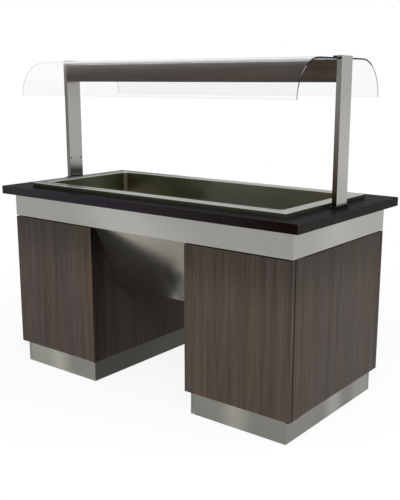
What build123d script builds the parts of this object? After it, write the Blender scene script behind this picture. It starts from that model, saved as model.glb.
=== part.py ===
from build123d import *
import os

# Heated salad bar. All sizes are in millimetres. The origin is on the floor under the middle of the worktop,
# +X runs along the worktop, +Y runs from the front to the rear and +Z is up.

# Worktop
worktop_length = 1664
worktop_depth = 840
worktop_height = 900
slab_thickness = 38
slab_arris = 3
worktop_overhang = 44

# Stainless band under the worktop
band_height = 106
band_sheet = 2
band_flange = 40
shadow_gap = 5

# Pedestals: two equal cupboards
pedestal_width = 517
pedestal_bottom = 111
board = 19
board_gap = 4
door_play = 0.5
edge_break = 0.8
plinth_recess = 30
plinth_left_margin = 9
plinth_rear_margin = 2
plinth_sheet = 1.5
plinth_return = 14
plinth_flange = 16
plinth_left_flange = 10
plinth_joint = 3
floor_clearance = 2

# Heated well for four full-size pans
well_length = 1330
well_width = 534
well_corner = 25
rim_face = 58
rim_height = 15.5
rim_sheet = 2
rim_corner = 12
rim_edge_radius = 3
rim_foot = 14
rim_skirt_depth = 35
tank_floor_height = 792
tank_sheet = 1.5
tank_floor_radius = 18
tank_flange = 8
drain_fall = 6
drain_dish_radius = 40

# Gantry
post_thickness = 22
post_depth = 88
post_wall = 2
post_inner_face = 756.5
post_top = 1492
beam_bottom = 1391
beam_height = 86
beam_board = 12
canopy_half_width = 330
canopy_bottom = 1330
canopy_radius = 155
canopy_thickness = 6
canopy_gasket = 2

# Housing under the well, between the pedestals
housing_bottom = 432
housing_half_bottom = 178
housing_half_top = 355
housing_sheet = 1.5

# Fits
clearance = 0.3
pivot_play = 0.08

# Worked out from the sizes above
slab_bottom = worktop_height - slab_thickness
half_length = worktop_length / 2
half_depth = worktop_depth / 2
body_half_length = half_length - worktop_overhang
body_half_depth = half_depth - worktop_overhang
band_bottom = slab_bottom - band_height
board_top = band_bottom - shadow_gap
side_half_depth = body_half_depth - board - board_gap
rim_top = worktop_height + rim_height
rim_length = well_length + 2 * rim_face
rim_width = well_width + 2 * rim_face
seal_thickness = 1.5
rim_underside = worktop_height + seal_thickness
skirt_bottom = rim_top - rim_skirt_depth
cutout_margin = 10
post_outer_face = post_inner_face + post_thickness
post_middle = post_inner_face + post_thickness / 2
beam_top = beam_bottom + beam_height
canopy_underside = beam_top + canopy_gasket
canopy_top = canopy_underside + canopy_thickness
left_pedestal = -body_half_length
right_pedestal = body_half_length - pedestal_width

# Levels between the well and the bottom of the band
strap_height = 3
strap_bottom = band_bottom + band_sheet
tray_bottom = strap_bottom + strap_height
tray_sheet = 1
tray_half_length = 702
tray_half_width = 302
tray_top = slab_bottom - 4
insulation_floor = 10
element_radius = 4
element_height = tank_floor_height - 13

# Drain line under the middle of the tank
outlet_bore = 16
outlet_flange = 14
outlet_room = 34
pipe_radius = 14
pipe_bore = 12.5
strainer_ledge = 2
strainer_sheet = 1.8
pipe_engagement = 20
outlet_bottom = 742
valve_top = housing_bottom - 7
valve_middle = valve_top - 25
valve_socket = 12
stem_radius = 4
spout_radius = 11
spout_bore = 8.5
spout_bottom = valve_middle - 60

# Pivot hinges of the doors
pivot_inset = 8
leaf_thickness = 2.5
leaf_half_width = 7
pin_radius = 3
pin_length = 11
bush_radius = 5
door_leaf = 2

# Controls on the rear of the band
control_height = 809
control_hole_radius = 5
switch_cutout = (20, 28)
thermostat_x = 470
heat_switch_x = 540
lamp_switch_x = 590
pilot_x = 632
knob_radius = 21
shaft_radius = 3
shaft_seat = 14
rocker_angle = 8
rocker_pivot_depth = 4
conduit_x = 560
conduit_y = 322
conduit_radius = 10
conduit_bore = 8
control_box_bottom = 765
gland_height = 200
gland_hole_radius = 10.2
cord_bore = 5
box_half_height = 40
box_wall = 2.5


def block(x, y, z):
    """Box between the low and high values given for each axis."""
    size = [high - low for low, high in (x, y, z)]
    middle = [(high + low) / 2 for low, high in (x, y, z)]
    return Pos(*middle) * Box(*size)


def panel(x, y, z):
    """Laminate-faced board with its edges lightly broken."""
    board_shape = block(x, y, z)
    return chamfer(board_shape.edges(), edge_break)


def plate(width, depth, radius, low, high):
    """Flat plate with round corners, centred on the origin, between two heights."""
    return extrude(Plane.XY.offset(low) * RectangleRounded(width, depth, radius), high - low)


def along_x(profile, low, high):
    """Profile drawn in Y and Z, extruded along X."""
    return extrude(Plane.YZ.offset(low) * profile, high - low)


def tube(centre, radius, low, high):
    """Upright round bar at a place in X and Y."""
    return Pos(centre[0], centre[1], low) * extrude(Circle(radius), high - low)


def bar_y(x, z, radius, low, high):
    """Round bar along Y at a place in X and Z."""
    return extrude(Plane.XZ.offset(-low) * Pos(x, z) * Circle(radius), -(high - low))


def group(solids):
    """Separate solids kept together as one node."""
    return Compound(children=list(solids))


def both_ends(solid):
    """A piece at the right end and its mirror image at the left end."""
    return [solid, mirror(solid, Plane.YZ)]


def four_corners(half_x, half_y):
    """Centres at the four corners of a rectangle."""
    return [(sx * half_x, sy * half_y) for sx in (-1, 1) for sy in (-1, 1)]


# Worktop and band

def post_slot(low, high, side):
    """Slot through which one post passes."""
    play = 1
    half = post_thickness / 2 + play
    reach = post_depth / 2 + play
    middle = side * post_middle
    return block((middle - half, middle + half), (-reach, reach), (low, high))


bracket_bolts_x = (post_middle - 25.5, post_middle + 8.5)
bracket_bolts_y = 60
bolt_radius = 4
bolt_hole_radius = 4.5
bracket_plate = 8


def bracket_bolt_places(side):
    """Places of the four bolts that hold one post bracket up under the slab."""
    return [(side * x, sy * bracket_bolts_y) for x in bracket_bolts_x for sy in (-1, 1)]


def worktop():
    """Polished granite slab with softened arrises, the well cut-out and the post slots."""
    slab = block((-half_length, half_length), (-half_depth, half_depth), (slab_bottom, worktop_height))
    slab = fillet(slab.edges().filter_by(Axis.Z), slab_arris)
    slab = fillet(slab.faces().sort_by(Axis.Z)[-1].edges(), slab_arris)
    slab = chamfer(slab.faces().sort_by(Axis.Z)[0].edges(), slab_arris / 2)
    opening = (well_length + 2 * cutout_margin, well_width + 2 * cutout_margin)
    slab -= plate(*opening, well_corner + cutout_margin, slab_bottom - 1, worktop_height + 1)
    insert_depth = 20
    for side in (-1, 1):
        slab -= post_slot(slab_bottom - 1, worktop_height + 1, side)
        for place in bracket_bolt_places(side):
            slab -= tube(place, bolt_hole_radius, slab_bottom - 1, slab_bottom + insert_depth)
    return slab


def fascia_band():
    """Folded stainless apron: four webs with flanges turned in at the top and the bottom."""
    x, y = body_half_length, body_half_depth
    t = band_sheet
    band = block((-x, x), (-y, y), (band_bottom, slab_bottom))
    band = fillet(band.edges().filter_by(Axis.Z), t)
    band -= block((t - x, x - t), (t - y, y - t), (band_bottom + t, slab_bottom - t))
    inner_x, inner_y = x - band_flange, y - band_flange
    band -= block((-inner_x, inner_x), (-inner_y, inner_y), (band_bottom - 1, slab_bottom + 1))
    for side in (-1, 1):
        band -= post_slot(slab_bottom - t - 1, slab_bottom + 1, side)
        outer_bolts = [p for p in bracket_bolt_places(side) if abs(p[0]) > inner_x]
        for place in outer_bolts:
            band -= tube(place, bolt_hole_radius, slab_bottom - t - 1, slab_bottom + 1)
    for hole_x in (thermostat_x, pilot_x):
        band -= bar_y(hole_x, control_height, control_hole_radius, y - t - 1, y + 1)
    half_width, half_height = switch_cutout[0] / 2, switch_cutout[1] / 2
    for switch_x in (heat_switch_x, lamp_switch_x):
        band -= block((switch_x - half_width, switch_x + half_width), (y - t - 1, y + 1),
                      (control_height - half_height, control_height + half_height))
    return band


cross_member_x = (704, 729)
cross_member_height = 60
cross_member_wall = 2


def cross_members():
    """Box-section members between the front and rear webs, beyond each end of the well."""
    top = slab_bottom - band_sheet
    reach = body_half_depth - band_sheet
    wall = cross_member_wall
    tube_solid = block(cross_member_x, (-reach, reach), (top - cross_member_height, top))
    tube_solid = fillet(tube_solid.edges().filter_by(Axis.Y), wall)
    tube_solid -= block((cross_member_x[0] + wall, cross_member_x[1] - wall), (-reach - 1, reach + 1),
                        (top - cross_member_height + wall, top - wall))
    return group(both_ends(tube_solid))


def worktop_pads():
    """Rubber strips between the cross members and the slab."""
    reach = body_half_depth - band_flange - 6
    strip = block((cross_member_x[0] + 3, cross_member_x[1] - 3), (-reach, reach),
                  (slab_bottom - band_sheet, slab_bottom))
    return group(both_ends(strip))


# Well

def well_rim():
    """Raised rim: outer wall with a turned-in foot, flat face, and a skirt that continues the tank wall."""
    t = rim_sheet
    below, above = rim_underside - 1, rim_top + 1
    skirt_plan = (well_length + 2 * t, well_width + 2 * t, well_corner + t)
    rim = plate(rim_length, rim_width, rim_corner, rim_underside, rim_top)
    rim -= plate(well_length, well_width, well_corner, below, above)
    rim = fillet(rim.faces().sort_by(Axis.Z)[-1].edges(), rim_edge_radius)
    hollow = plate(rim_length - 2 * t, rim_width - 2 * t, rim_corner - t, rim_underside + t, rim_top - t)
    hollow -= plate(*skirt_plan, rim_underside, rim_top)
    opening_corner = rim_corner / 2
    opening = plate(rim_length - 2 * rim_foot, rim_width - 2 * rim_foot, opening_corner,
                    below, rim_underside + t)
    hollow += opening - plate(*skirt_plan, below, rim_top)
    skirt = plate(*skirt_plan, skirt_bottom, rim_underside)
    skirt -= plate(well_length, well_width, well_corner, skirt_bottom - 1, above)
    return rim - hollow + skirt


def rim_seal():
    """Silicone bead under the foot of the rim."""
    inset = 1
    width = 12
    inside = inset + width
    inner_corner = 5
    seal = plate(rim_length - 2 * inset, rim_width - 2 * inset, rim_corner - inset,
                 worktop_height, rim_underside)
    return seal - plate(rim_length - 2 * inside, rim_width - 2 * inside, inner_corner,
                        worktop_height - 1, rim_underside + 1)


outlet_neck_radius = outlet_bore + 3 - clearance


def tank_form(offset):
    """Solid of the tank's inside, grown outwards by an offset, with a shallow fall to the drain."""
    floor = tank_floor_height - offset
    form = plate(well_length + 2 * offset, well_width + 2 * offset, well_corner + offset, floor, skirt_bottom)
    form = fillet(form.faces().sort_by(Axis.Z)[0].edges(), tank_floor_radius + offset)
    margin = 20
    fall_outline = RectangleRounded(well_length - 2 * margin, well_width - 2 * margin, well_corner / 2)
    overlap = 0.01
    fall = loft([Plane.XY.offset(floor + overlap) * fall_outline,
                 Plane.XY.offset(floor - drain_fall) * Circle(drain_dish_radius)])
    return form + fall


def well_tank():
    """Pressed tank with rounded corners, a narrow top flange and a floor that falls to the drain hole."""
    tank = tank_form(tank_sheet) - tank_form(0)
    lip = plate(well_length + 2 * tank_flange, well_width + 2 * tank_flange, well_corner + tank_flange,
                skirt_bottom - tank_sheet, skirt_bottom)
    lip -= plate(well_length, well_width, well_corner, skirt_bottom - tank_sheet - 1, skirt_bottom + 1)
    return tank + lip - tube((0, 0), outlet_neck_radius + clearance,
                             tank_floor_height - 20, tank_floor_height + 5)


def tank_insulation():
    """Mineral wool tray round the sides and under the floor of the tank."""
    gap = 1
    wool = block((gap - tray_half_length + tray_sheet, tray_half_length - tray_sheet - gap),
                 (gap - tray_half_width + tray_sheet, tray_half_width - tray_sheet - gap),
                 (tray_bottom + tray_sheet, tray_top - 2))
    room = 3
    spare = 2 * (tank_sheet + room)
    wool -= plate(well_length + spare, well_width + spare, well_corner,
                  tray_bottom + tray_sheet + insulation_floor, slab_bottom)
    return wool - tube((0, 0), outlet_room, tray_bottom - 1, tank_floor_height)


def heater_tray():
    """Galvanised tray that holds the insulation and the elements."""
    x, y, t = tray_half_length, tray_half_width, tray_sheet
    tray = block((-x, x), (-y, y), (tray_bottom, tray_top))
    tray = fillet(tray.edges().filter_by(Axis.Z), 3 * t)
    tray -= block((t - x, x - t), (t - y, y - t), (tray_bottom + t, tray_top + 1))
    return tray - tube((0, 0), outlet_room, tray_bottom - 1, tray_bottom + t + 1)


def tray_straps():
    """Flat straps from the front flange of the band to the rear one, under the tray."""
    reach = body_half_depth - band_sheet - 1
    half = 20
    places = (-620, -180, 180, 620)
    return group(block((x - half, x + half), (-reach, reach), (strap_bottom, tray_bottom)) for x in places)


element_places = (-500, -180, 180, 500)
element_half_pitch = 55
element_reach = 190


def heater_elements():
    """Four hairpin elements clipped under the tank floor."""
    solids = []
    for x in element_places:
        path = Line((x - element_half_pitch, -element_reach), (x - element_half_pitch, element_reach))
        path += CenterArc((x, element_reach), element_half_pitch, 180, -180)
        path += Line((x + element_half_pitch, element_reach), (x + element_half_pitch, -element_reach))
        path = Pos(0, 0, element_height) * Wire(path.edges())
        section = Plane(origin=path @ 0, z_dir=path % 0) * Circle(element_radius)
        solids.append(sweep(section, path))
    return group(solids)


def element_terminals():
    """Ceramic blocks that hold the cold ends of each element."""
    base = tray_bottom + tray_sheet + insulation_floor
    half = element_half_pitch + 12
    depth = 26
    cover = 6
    y = (-element_reach - depth, -element_reach)
    return group(block((x - half, x + half), y, (base, element_height + cover)) for x in element_places)


# Housing and drain

def underbody_housing():
    """Folded stainless housing with sloped front and rear faces."""
    middle = housing_sheet / 2
    top = band_bottom - middle
    bottom = housing_bottom + middle
    lip = 19
    outline = FilletPolyline(
        (lip - housing_half_top, top),
        (-housing_half_top, top),
        (-housing_half_bottom, bottom),
        (housing_half_bottom, bottom),
        (housing_half_top, top),
        (housing_half_top - lip, top),
        radius=3,
    )
    reach = right_pedestal - clearance
    shell = along_x(trace(outline, housing_sheet), -reach, reach)
    return shell - tube((0, 0), pipe_radius + 3, housing_bottom - 5, housing_bottom + 5)


def drain_outlet():
    """Turned outlet with a flange on the tank floor, a ledge, a socket for the pipe and a back nut."""
    floor = tank_floor_height - drain_fall
    neck = outlet_neck_radius
    flange_top = floor + 1.5
    edge = 0.8
    outline = Polyline(
        (outlet_bore + 1, flange_top),
        (outlet_bore + outlet_flange - 1, flange_top),
        (outlet_bore + outlet_flange, flange_top - edge),
        (outlet_bore + outlet_flange, floor),
        (neck, floor),
        (neck, outlet_bottom),
        (pipe_radius, outlet_bottom),
        (pipe_radius, outlet_bottom + pipe_engagement),
        (pipe_bore, outlet_bottom + pipe_engagement),
        (pipe_bore, floor - strainer_ledge),
        (outlet_bore, floor - strainer_ledge),
        (outlet_bore, flange_top - 1),
        close=True,
    )
    outlet = revolve(Plane.XZ * make_face(outline), Axis.Z)
    nut_top = floor - tank_sheet
    nut_height = 8
    nut = Pos(0, 0, nut_top - nut_height) * extrude(RegularPolygon(27, 6), nut_height)
    nut -= tube((0, 0), neck, nut_top - nut_height - 1, nut_top + 1)
    return group([outlet, nut])


def drain_strainer():
    """Perforated disc that drops into the outlet."""
    seat = tank_floor_height - drain_fall - strainer_ledge
    hole = Circle(1.8)
    face = Circle(outlet_bore - clearance) - hole
    for ring_radius, holes in ((6, 6), (11.5, 10)):
        face -= PolarLocations(ring_radius, holes) * hole
    return Pos(0, 0, seat) * extrude(face, strainer_sheet)


def drain_pipe():
    """Straight pipe from the outlet down through the housing."""
    low, high = valve_top - valve_socket, outlet_bottom + pipe_engagement
    return tube((0, 0), pipe_radius, low, high) - tube((0, 0), pipe_bore, low - 1, high + 1)


stem_start = 13


def drain_valve_body():
    """Ball valve body: hexagon ends, round belly, stem boss and a plain outlet spout."""
    hexagon = RegularPolygon(20, 6)
    collar = 14
    half_height = valve_top - valve_middle
    belly_radius = 20
    boss_radius = 9
    boss_reach = 30
    body = Pos(0, 0, valve_top - collar) * extrude(hexagon, collar)
    body += Pos(0, 0, valve_middle - half_height) * extrude(hexagon, collar - 2)
    body += Pos(0, 0, valve_middle) * Sphere(belly_radius)
    body += tube((0, 0), spout_radius, spout_bottom, valve_middle)
    body += bar_y(0, valve_middle, boss_radius, 0, boss_reach)
    body -= tube((0, 0), pipe_radius, valve_top - valve_socket, valve_top + 1)
    body -= tube((0, 0), spout_bore, spout_bottom - 1, valve_top - valve_socket + 1)
    return body - bar_y(0, valve_middle, stem_radius + pivot_play, stem_start - 1, boss_reach + 1)


def drain_valve_lever():
    """Stem and cranked flat lever with a sleeve grip."""
    stem = bar_y(0, valve_middle, stem_radius, stem_start, 38)
    hub = bar_y(0, valve_middle, 2 * stem_radius, 31, 35)
    near, far = 33, 43
    blade_width = 14
    blade_sheet = 3
    blade_line = FilletPolyline((0, near), (22, near), (36, far), (104, far), radius=6)
    blade_plane = Plane.XY.offset(valve_middle - blade_width / 2)
    blade = extrude(blade_plane * trace(blade_line, blade_sheet), blade_width)
    grip_length = 58
    grip = Plane.YZ.offset(50) * Pos(far, valve_middle) * SlotOverall(20, 8, rotation=90)
    return stem + hub + blade + extrude(grip, grip_length)


# Gantry

slot_low = canopy_underside - clearance
slot_high = canopy_top + clearance
tongue_reach = post_outer_face - post_wall - 2
post_foot = slab_bottom - 48
cable_hole_radius = 8
spigot_top = 1035
spigot_wall = 2
post_screw_places = [(y, 1009.5) for y in (-32, 32)]
post_screw_radius = 2.5


def post():
    """Flat tube with a closed top and a slot for the canopy tongue through three of its walls."""
    x = (post_inner_face, post_outer_face)
    y = post_depth / 2
    shaft = block(x, (-y, y), (post_foot, post_top))
    shaft = fillet(shaft.edges().filter_by(Axis.Z), 1.5)
    shaft = chamfer(shaft.faces().sort_by(Axis.Z)[-1].edges(), 0.6)
    shaft -= block((x[0] + post_wall, x[1] - post_wall), (post_wall - y, y - post_wall),
                   (post_foot - 1, slot_low))
    shaft -= block((x[0] - 1, x[1] - post_wall), (-y - 1, y + 1), (slot_low, slot_high))
    holes = Pos(0, cable_height) * Circle(cable_hole_radius)
    for place in beam_bolt_places:
        holes += Pos(*place) * Circle(bolt_hole_radius)
    for place in post_screw_places:
        holes += Pos(*place) * Circle(post_screw_radius + clearance)
    return shaft - extrude(Plane.YZ.offset(x[0] - 1) * holes, post_wall + 2)


def post_spigot():
    """Tube inside the foot of a post that stiffens it and takes its two screws."""
    half = post_thickness / 2 - post_wall - clearance
    reach = post_depth / 2 - post_wall - clearance
    levels = (post_foot, spigot_top)
    spigot = block((post_middle - half, post_middle + half), (-reach, reach), levels)
    spigot -= block((post_middle - half + spigot_wall, post_middle + half - spigot_wall),
                    (spigot_wall - reach, reach - spigot_wall), (levels[0] - 1, levels[1] + 1))
    holes = [Pos(*place) * Circle(post_screw_radius) for place in post_screw_places]
    return spigot - extrude(Plane.YZ.offset(post_middle - half - 1) * Sketch(children=holes), spigot_wall + 2)


def post_screws():
    """Round-headed screws through the inner face of each post into its spigot."""
    head_radius = 4.5
    head_height = 2.6
    length = 7
    thread_radius = post_screw_radius - 0.05
    edge = 0.8
    socket_radius = 1.6
    outline = Polyline(
        (0, -length),
        (thread_radius, -length),
        (thread_radius, 0),
        (head_radius, 0),
        (head_radius, edge),
        (head_radius - 2 * edge, head_height),
        (socket_radius, head_height),
        (socket_radius, 1),
        (0, 1),
        close=True,
    )
    screw = revolve(Plane.XZ * make_face(outline), Axis.Z)
    solids = []
    for y, z in post_screw_places:
        solids.extend(both_ends(Pos(post_inner_face, y, z) * Rot(0, -90, 0) * screw))
    return group(solids)


def post_collar():
    """Black collar that covers the slot in the worktop round the foot of a post."""
    margin = 6
    height = 12
    outer = RectangleRounded(post_thickness + 2 * margin, post_depth + 2 * margin, 5)
    ring = Pos(post_middle, 0, worktop_height) * extrude(outer, height)
    ring = fillet(ring.faces().sort_by(Axis.Z)[-1].edges(), 2.5)
    half = post_thickness / 2 + 0.2
    reach = post_depth / 2 + 0.2
    return ring - block((post_middle - half, post_middle + half), (-reach, reach),
                        (worktop_height - 1, worktop_height + height + 1))


def post_bracket():
    """Bracket under the slab: a bolted plate with a closed socket that holds the foot of the post."""
    top = slab_bottom - band_sheet
    x = (post_middle - 35, body_half_length - band_sheet - 1)
    plate_reach = bracket_bolts_y + 14
    wall = 3
    bracket = block(x, (-plate_reach, plate_reach), (top - bracket_plate, top))
    bracket = fillet(bracket.edges().filter_by(Axis.Z), wall + 1)
    half = post_thickness / 2 + 0.2
    reach = post_depth / 2 + 0.2
    floor = 4
    bracket += block((post_middle - half - wall, post_middle + half + wall), (-reach - wall, reach + wall),
                     (post_foot - floor, top - bracket_plate))
    bracket -= block((post_middle - half, post_middle + half), (-reach, reach), (post_foot, top + 1))
    for place in bracket_bolt_places(1):
        bracket -= tube(place, bolt_hole_radius, top - bracket_plate - 1, top + 1)
    return bracket


def bolt(length):
    """Hexagon bolt with a washer, standing head down with its seat at the origin."""
    washer = 1.6
    head = 5.3
    shape = extrude(Circle(bolt_radius), length) + extrude(Circle(2 * bolt_radius), -washer)
    return shape + Pos(0, 0, -washer - head) * extrude(RegularPolygon(7.5, 6), head)


def gantry_bolts():
    """Bolts that hold the post brackets up under the slab and the beam between the posts."""
    seat = slab_bottom - band_sheet - bracket_plate
    solids = [Pos(*place, seat) * bolt(28) for side in (-1, 1) for place in bracket_bolt_places(side)]
    inside = post_inner_face - core_end
    for y, z in beam_bolt_places:
        solids.extend(both_ends(Pos(inside, y, z) * Rot(0, 90, 0) * bolt(14)))
    return group(solids)


beam_half_length = post_inner_face - clearance
beam_half_depth = post_depth / 2
core_half_depth = beam_half_depth - beam_board
core_sheet = 2
core_end = 3
core_lip = 9
core_recess = 2
cable_height = beam_bottom + beam_height / 2
beam_bolt_places = [(y, z) for y in (-19, 19) for z in (beam_bottom + 20, beam_top - 18)]


def beam_board_piece(front):
    """Wood-faced board along one side of the beam."""
    y = (-beam_half_depth, -core_half_depth) if front else (core_half_depth, beam_half_depth)
    return panel((-beam_half_length, beam_half_length), y, (beam_bottom, beam_top))


def beam_core():
    """Steel channel with lips under the lamp glass and end plates that are bolted to the posts."""
    reach, depth = post_inner_face, core_half_depth
    bottom = beam_bottom + core_recess
    core = block((-reach, reach), (-depth, depth), (bottom, beam_top))
    span = (core_end - reach, reach - core_end)
    core -= block(span, (core_sheet - depth, depth - core_sheet),
                  (bottom + core_sheet, beam_top - core_sheet))
    core -= block(span, (core_lip - depth, depth - core_lip), (bottom - 1, bottom + core_sheet + 1))
    holes = Pos(0, cable_height) * Circle(cable_hole_radius)
    for place in beam_bolt_places:
        holes += Pos(*place) * Circle(bolt_hole_radius)
    return core - extrude(Plane.YZ.offset(-reach - 1) * holes, 2 * reach + 2)


lamp_places = (-555, -185, 185, 555)
lamp_length = 300
lamp_height = beam_bottom + 28
lamp_radius = 5
pinch_radius = 3
lamp_holder_length = 14
reflector_sheet = 1
reflector_crown = beam_bottom + 52


def lamp_reflector():
    """Bright reflector with flared sides, folded from one sheet."""
    outer = core_half_depth - core_sheet - reflector_sheet / 2
    sill = beam_bottom + 12
    lip = 6
    upstand = 8
    flat = 14
    crown = reflector_crown
    bends = [(flat, crown), (outer - lip, sill), (outer, sill), (outer, sill + upstand)]
    outline = FilletPolyline(*[(-x, z) for x, z in reversed(bends)], *bends, radius=1.5)
    reach = beam_half_length - core_end - 14
    return along_x(trace(outline, reflector_sheet), -reach, reach)


def heat_lamps():
    """Quartz lamps with pinched ends, one above each pan."""
    half = lamp_length / 2
    tip = half + 8
    shoulder, body = half - 4, half - 10
    outline = Polyline((0, -tip), (pinch_radius, -tip), (pinch_radius, -shoulder), (lamp_radius, -body),
                       (lamp_radius, body), (pinch_radius, shoulder), (pinch_radius, tip), (0, tip), close=True)
    lamp = revolve(Plane.XY * make_face(outline), Axis.Y)
    lamp = Rot(0, 0, 90) * lamp
    return group(Pos(x, 0, lamp_height) * lamp for x in lamp_places)


def lamp_holders():
    """Ceramic holders that hang from the crown of the reflector and grip the lamp ends."""
    crown = reflector_crown - reflector_sheet / 2
    half = lamp_holder_length / 2
    half_width = 10
    cover = 9
    solids = []
    for x in lamp_places:
        for side in (-1, 1):
            centre = x + side * (lamp_length / 2 + 6)
            holder = block((centre - half, centre + half), (-half_width, half_width),
                           (lamp_height - cover, crown))
            bore = Plane.YZ.offset(centre - half - 1) * Pos(0, lamp_height) * Circle(pinch_radius)
            solids.append(holder - extrude(bore, lamp_holder_length + 2))
    return group(solids)


def lamp_glass():
    """Toughened pane that closes the underside of the beam."""
    reach = beam_half_length - core_end - 1
    depth = core_half_depth - core_sheet - 1
    seat = beam_bottom + core_recess + core_sheet
    return block((-reach, reach), (-depth, depth), (seat, seat + 4))


def canopy_glass():
    """One clear sheet bent down at front and rear, with a tongue at each end that enters the post."""
    middle = canopy_thickness / 2
    radius = canopy_radius - middle
    flat = canopy_half_width - canopy_radius
    outline = Curve() + [
        CenterArc((-flat, canopy_bottom), radius, 180, -90),
        Line((-flat, canopy_bottom + radius), (flat, canopy_bottom + radius)),
        CenterArc((flat, canopy_bottom), radius, 90, -90),
    ]
    reach = post_inner_face - clearance
    sheet = along_x(trace(outline, canopy_thickness), -reach, reach)
    half_tongue = post_depth / 2 - 4
    tongue = block((-tongue_reach, tongue_reach), (-half_tongue, half_tongue), (canopy_underside, canopy_top))
    return sheet + tongue


def canopy_gaskets():
    """Soft strips between the beam and the canopy."""
    strips = []
    for side in (-1, 1):
        y = sorted((side * (core_half_depth + 2), side * (beam_half_depth - 2)))
        strips.append(block((-beam_half_length, beam_half_length), y, (beam_top, canopy_underside)))
    return group(strips)


def canopy_clamps():
    """Black blocks screwed to the posts that hold the canopy down."""
    length = 20
    clamp = block((post_inner_face - length, post_inner_face), (4 - post_depth / 2, post_depth / 2 - 4),
                  (canopy_top, post_top - 0.5))
    clamp = fillet(clamp.edges().filter_by(Axis.Z).sort_by(Axis.X)[:2], 3)
    return group(both_ends(clamp))


# Pedestals

def outer_side(x):
    """Board on the right of a pedestal."""
    right = x + pedestal_width
    return panel((right - board, right), (-side_half_depth, side_half_depth), (pedestal_bottom, board_top))


def inner_side(x):
    """Board on the left of a pedestal."""
    return panel((x, x + board), (-side_half_depth, side_half_depth), (pedestal_bottom, board_top))


def inner_boards():
    """Bottom board and two top rails of each pedestal; the conduit passes through one rear rail."""
    rear = body_half_depth - board
    rail = 100
    solids = []
    for x in (left_pedestal, right_pedestal):
        span = (x + board, x + pedestal_width - board)
        solids.append(block(span, (-side_half_depth, rear), (pedestal_bottom, pedestal_bottom + board)))
        solids.append(block(span, (-side_half_depth, rail - side_half_depth), (board_top - board, board_top)))
        back = block(span, (rear - rail, rear), (board_top - board, board_top))
        solids.append(back - tube((conduit_x, conduit_y), conduit_radius + 1,
                                  board_top - board - 1, board_top + 1))
    return group(solids)


def rear_panel(x):
    """Fixed panel over the rear of a pedestal."""
    rear = panel((x, x + pedestal_width), (body_half_depth - board, body_half_depth),
                 (pedestal_bottom, board_top))
    if x > 0:
        rear -= bar_y(conduit_x, gland_height, gland_hole_radius,
                      body_half_depth - board - 1, body_half_depth + 1)
    return rear


shelf_height = 430
shelf_board = 16
shelf_pin_radius = 3
shelf_pin_length = 12


def shelf(x):
    """Loose shelf on four pins."""
    play = 1
    y = (20 - side_half_depth, 280)
    span = (x + board + play, x + pedestal_width - board - play)
    return block(span, y, (shelf_height, shelf_height + shelf_board))


def shelf_pins():
    """Short pins in the sides that carry the shelves."""
    solids = []
    for x in (left_pedestal, right_pedestal):
        for y in (-280, 230):
            for face, direction in ((x + board, 1), (x + pedestal_width - board, -1)):
                pin = Plane.YZ.offset(face) * Pos(y, shelf_height - shelf_pin_radius) * Circle(shelf_pin_radius)
                solids.append(extrude(pin, direction * shelf_pin_length))
    return group(solids)


def pivot_place(x):
    """Axis of a door, in X and Y."""
    return (x + pedestal_width - pivot_inset, pivot_inset - body_half_depth)


def door_leaf_shape(x, low, high):
    """Outline of the moving hinge leaf let into the end of a door."""
    pivot = pivot_place(x)
    return Pos(pivot[0] - 18, pivot[1] + 0.5, low) * extrude(RectangleRounded(50, 13, 3), high - low)


def door(x):
    """Full overlay door, opened by its lower edge, with seats for the pivot leaves."""
    low = pedestal_bottom + door_play
    high = board_top - door_play
    slab = panel((x, x + pedestal_width), (-body_half_depth, board - body_half_depth), (low, high))
    pivot = pivot_place(x)
    for start, end, tip in ((low - 1, low + door_leaf, low + pin_length + 2),
                            (high - door_leaf, high + 1, high - pin_length - 2)):
        slab -= door_leaf_shape(x, start, end)
        slab -= tube(pivot, bush_radius, min(start, tip), max(end, tip))
    return slab


def door_leaves(x):
    """Moving hinge leaves: a plate in each end of the door with a bush round the pin."""
    low = pedestal_bottom + door_play
    high = board_top - door_play
    pivot = pivot_place(x)
    bore = pin_radius + pivot_play
    lower = door_leaf_shape(x, low, low + door_leaf) + tube(pivot, bush_radius, low, low + pin_length + 2)
    upper = door_leaf_shape(x, high - door_leaf, high) + tube(pivot, bush_radius, high - pin_length - 2, high)
    lower -= tube(pivot, bore, low - 1, low + pin_length + 1)
    upper -= tube(pivot, bore, high - pin_length - 1, high + 1)
    return [lower, upper]


def hinge_leaves(x):
    """Fixed hinge leaves under and over the right-hand side, each with its pin."""
    pivot = pivot_place(x)
    length = 92
    solids = []
    for low, pin in ((pedestal_bottom - leaf_thickness, (pedestal_bottom, pedestal_bottom + pin_length)),
                     (board_top, (board_top - pin_length, board_top))):
        blade = Pos(pivot[0], pivot[1] + length / 2 - leaf_half_width, low)
        blade = blade * extrude(SlotOverall(length, 2 * leaf_half_width, rotation=90), leaf_thickness)
        solids.append(blade + tube(pivot, pin_radius, *pin))
    return solids


latch_height = 662
latch_half_width = 8.5
latch_reach = 2.5
strike_sheet = 1.2


def push_latch(x):
    """Push-to-open latch on the free side board: a case with a sprung plunger towards the door."""
    front = -side_half_depth
    half_width = latch_half_width
    half_height = 15
    depth = 62
    plunger_radius = 4.5
    centre = x + board + half_width
    case = block((centre - half_width, centre + half_width), (front, front + depth),
                 (latch_height - half_height, latch_height + half_height))
    case = fillet(case.edges().filter_by(Axis.Y).sort_by(Axis.X)[-2:], 6)
    return case + bar_y(centre, latch_height, plunger_radius, front - latch_reach, front + 1)


def latch_strike(x):
    """Steel plate on the back of the door, in front of the plunger."""
    rear = board - body_half_depth
    half_width = latch_half_width - 1
    half_height = 18
    centre = x + board + latch_half_width
    strike = block((centre - half_width, centre + half_width), (rear, rear + strike_sheet),
                   (latch_height - half_height, latch_height + half_height))
    return fillet(strike.edges().filter_by(Axis.Y), 3)


packer_width = 14


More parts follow.
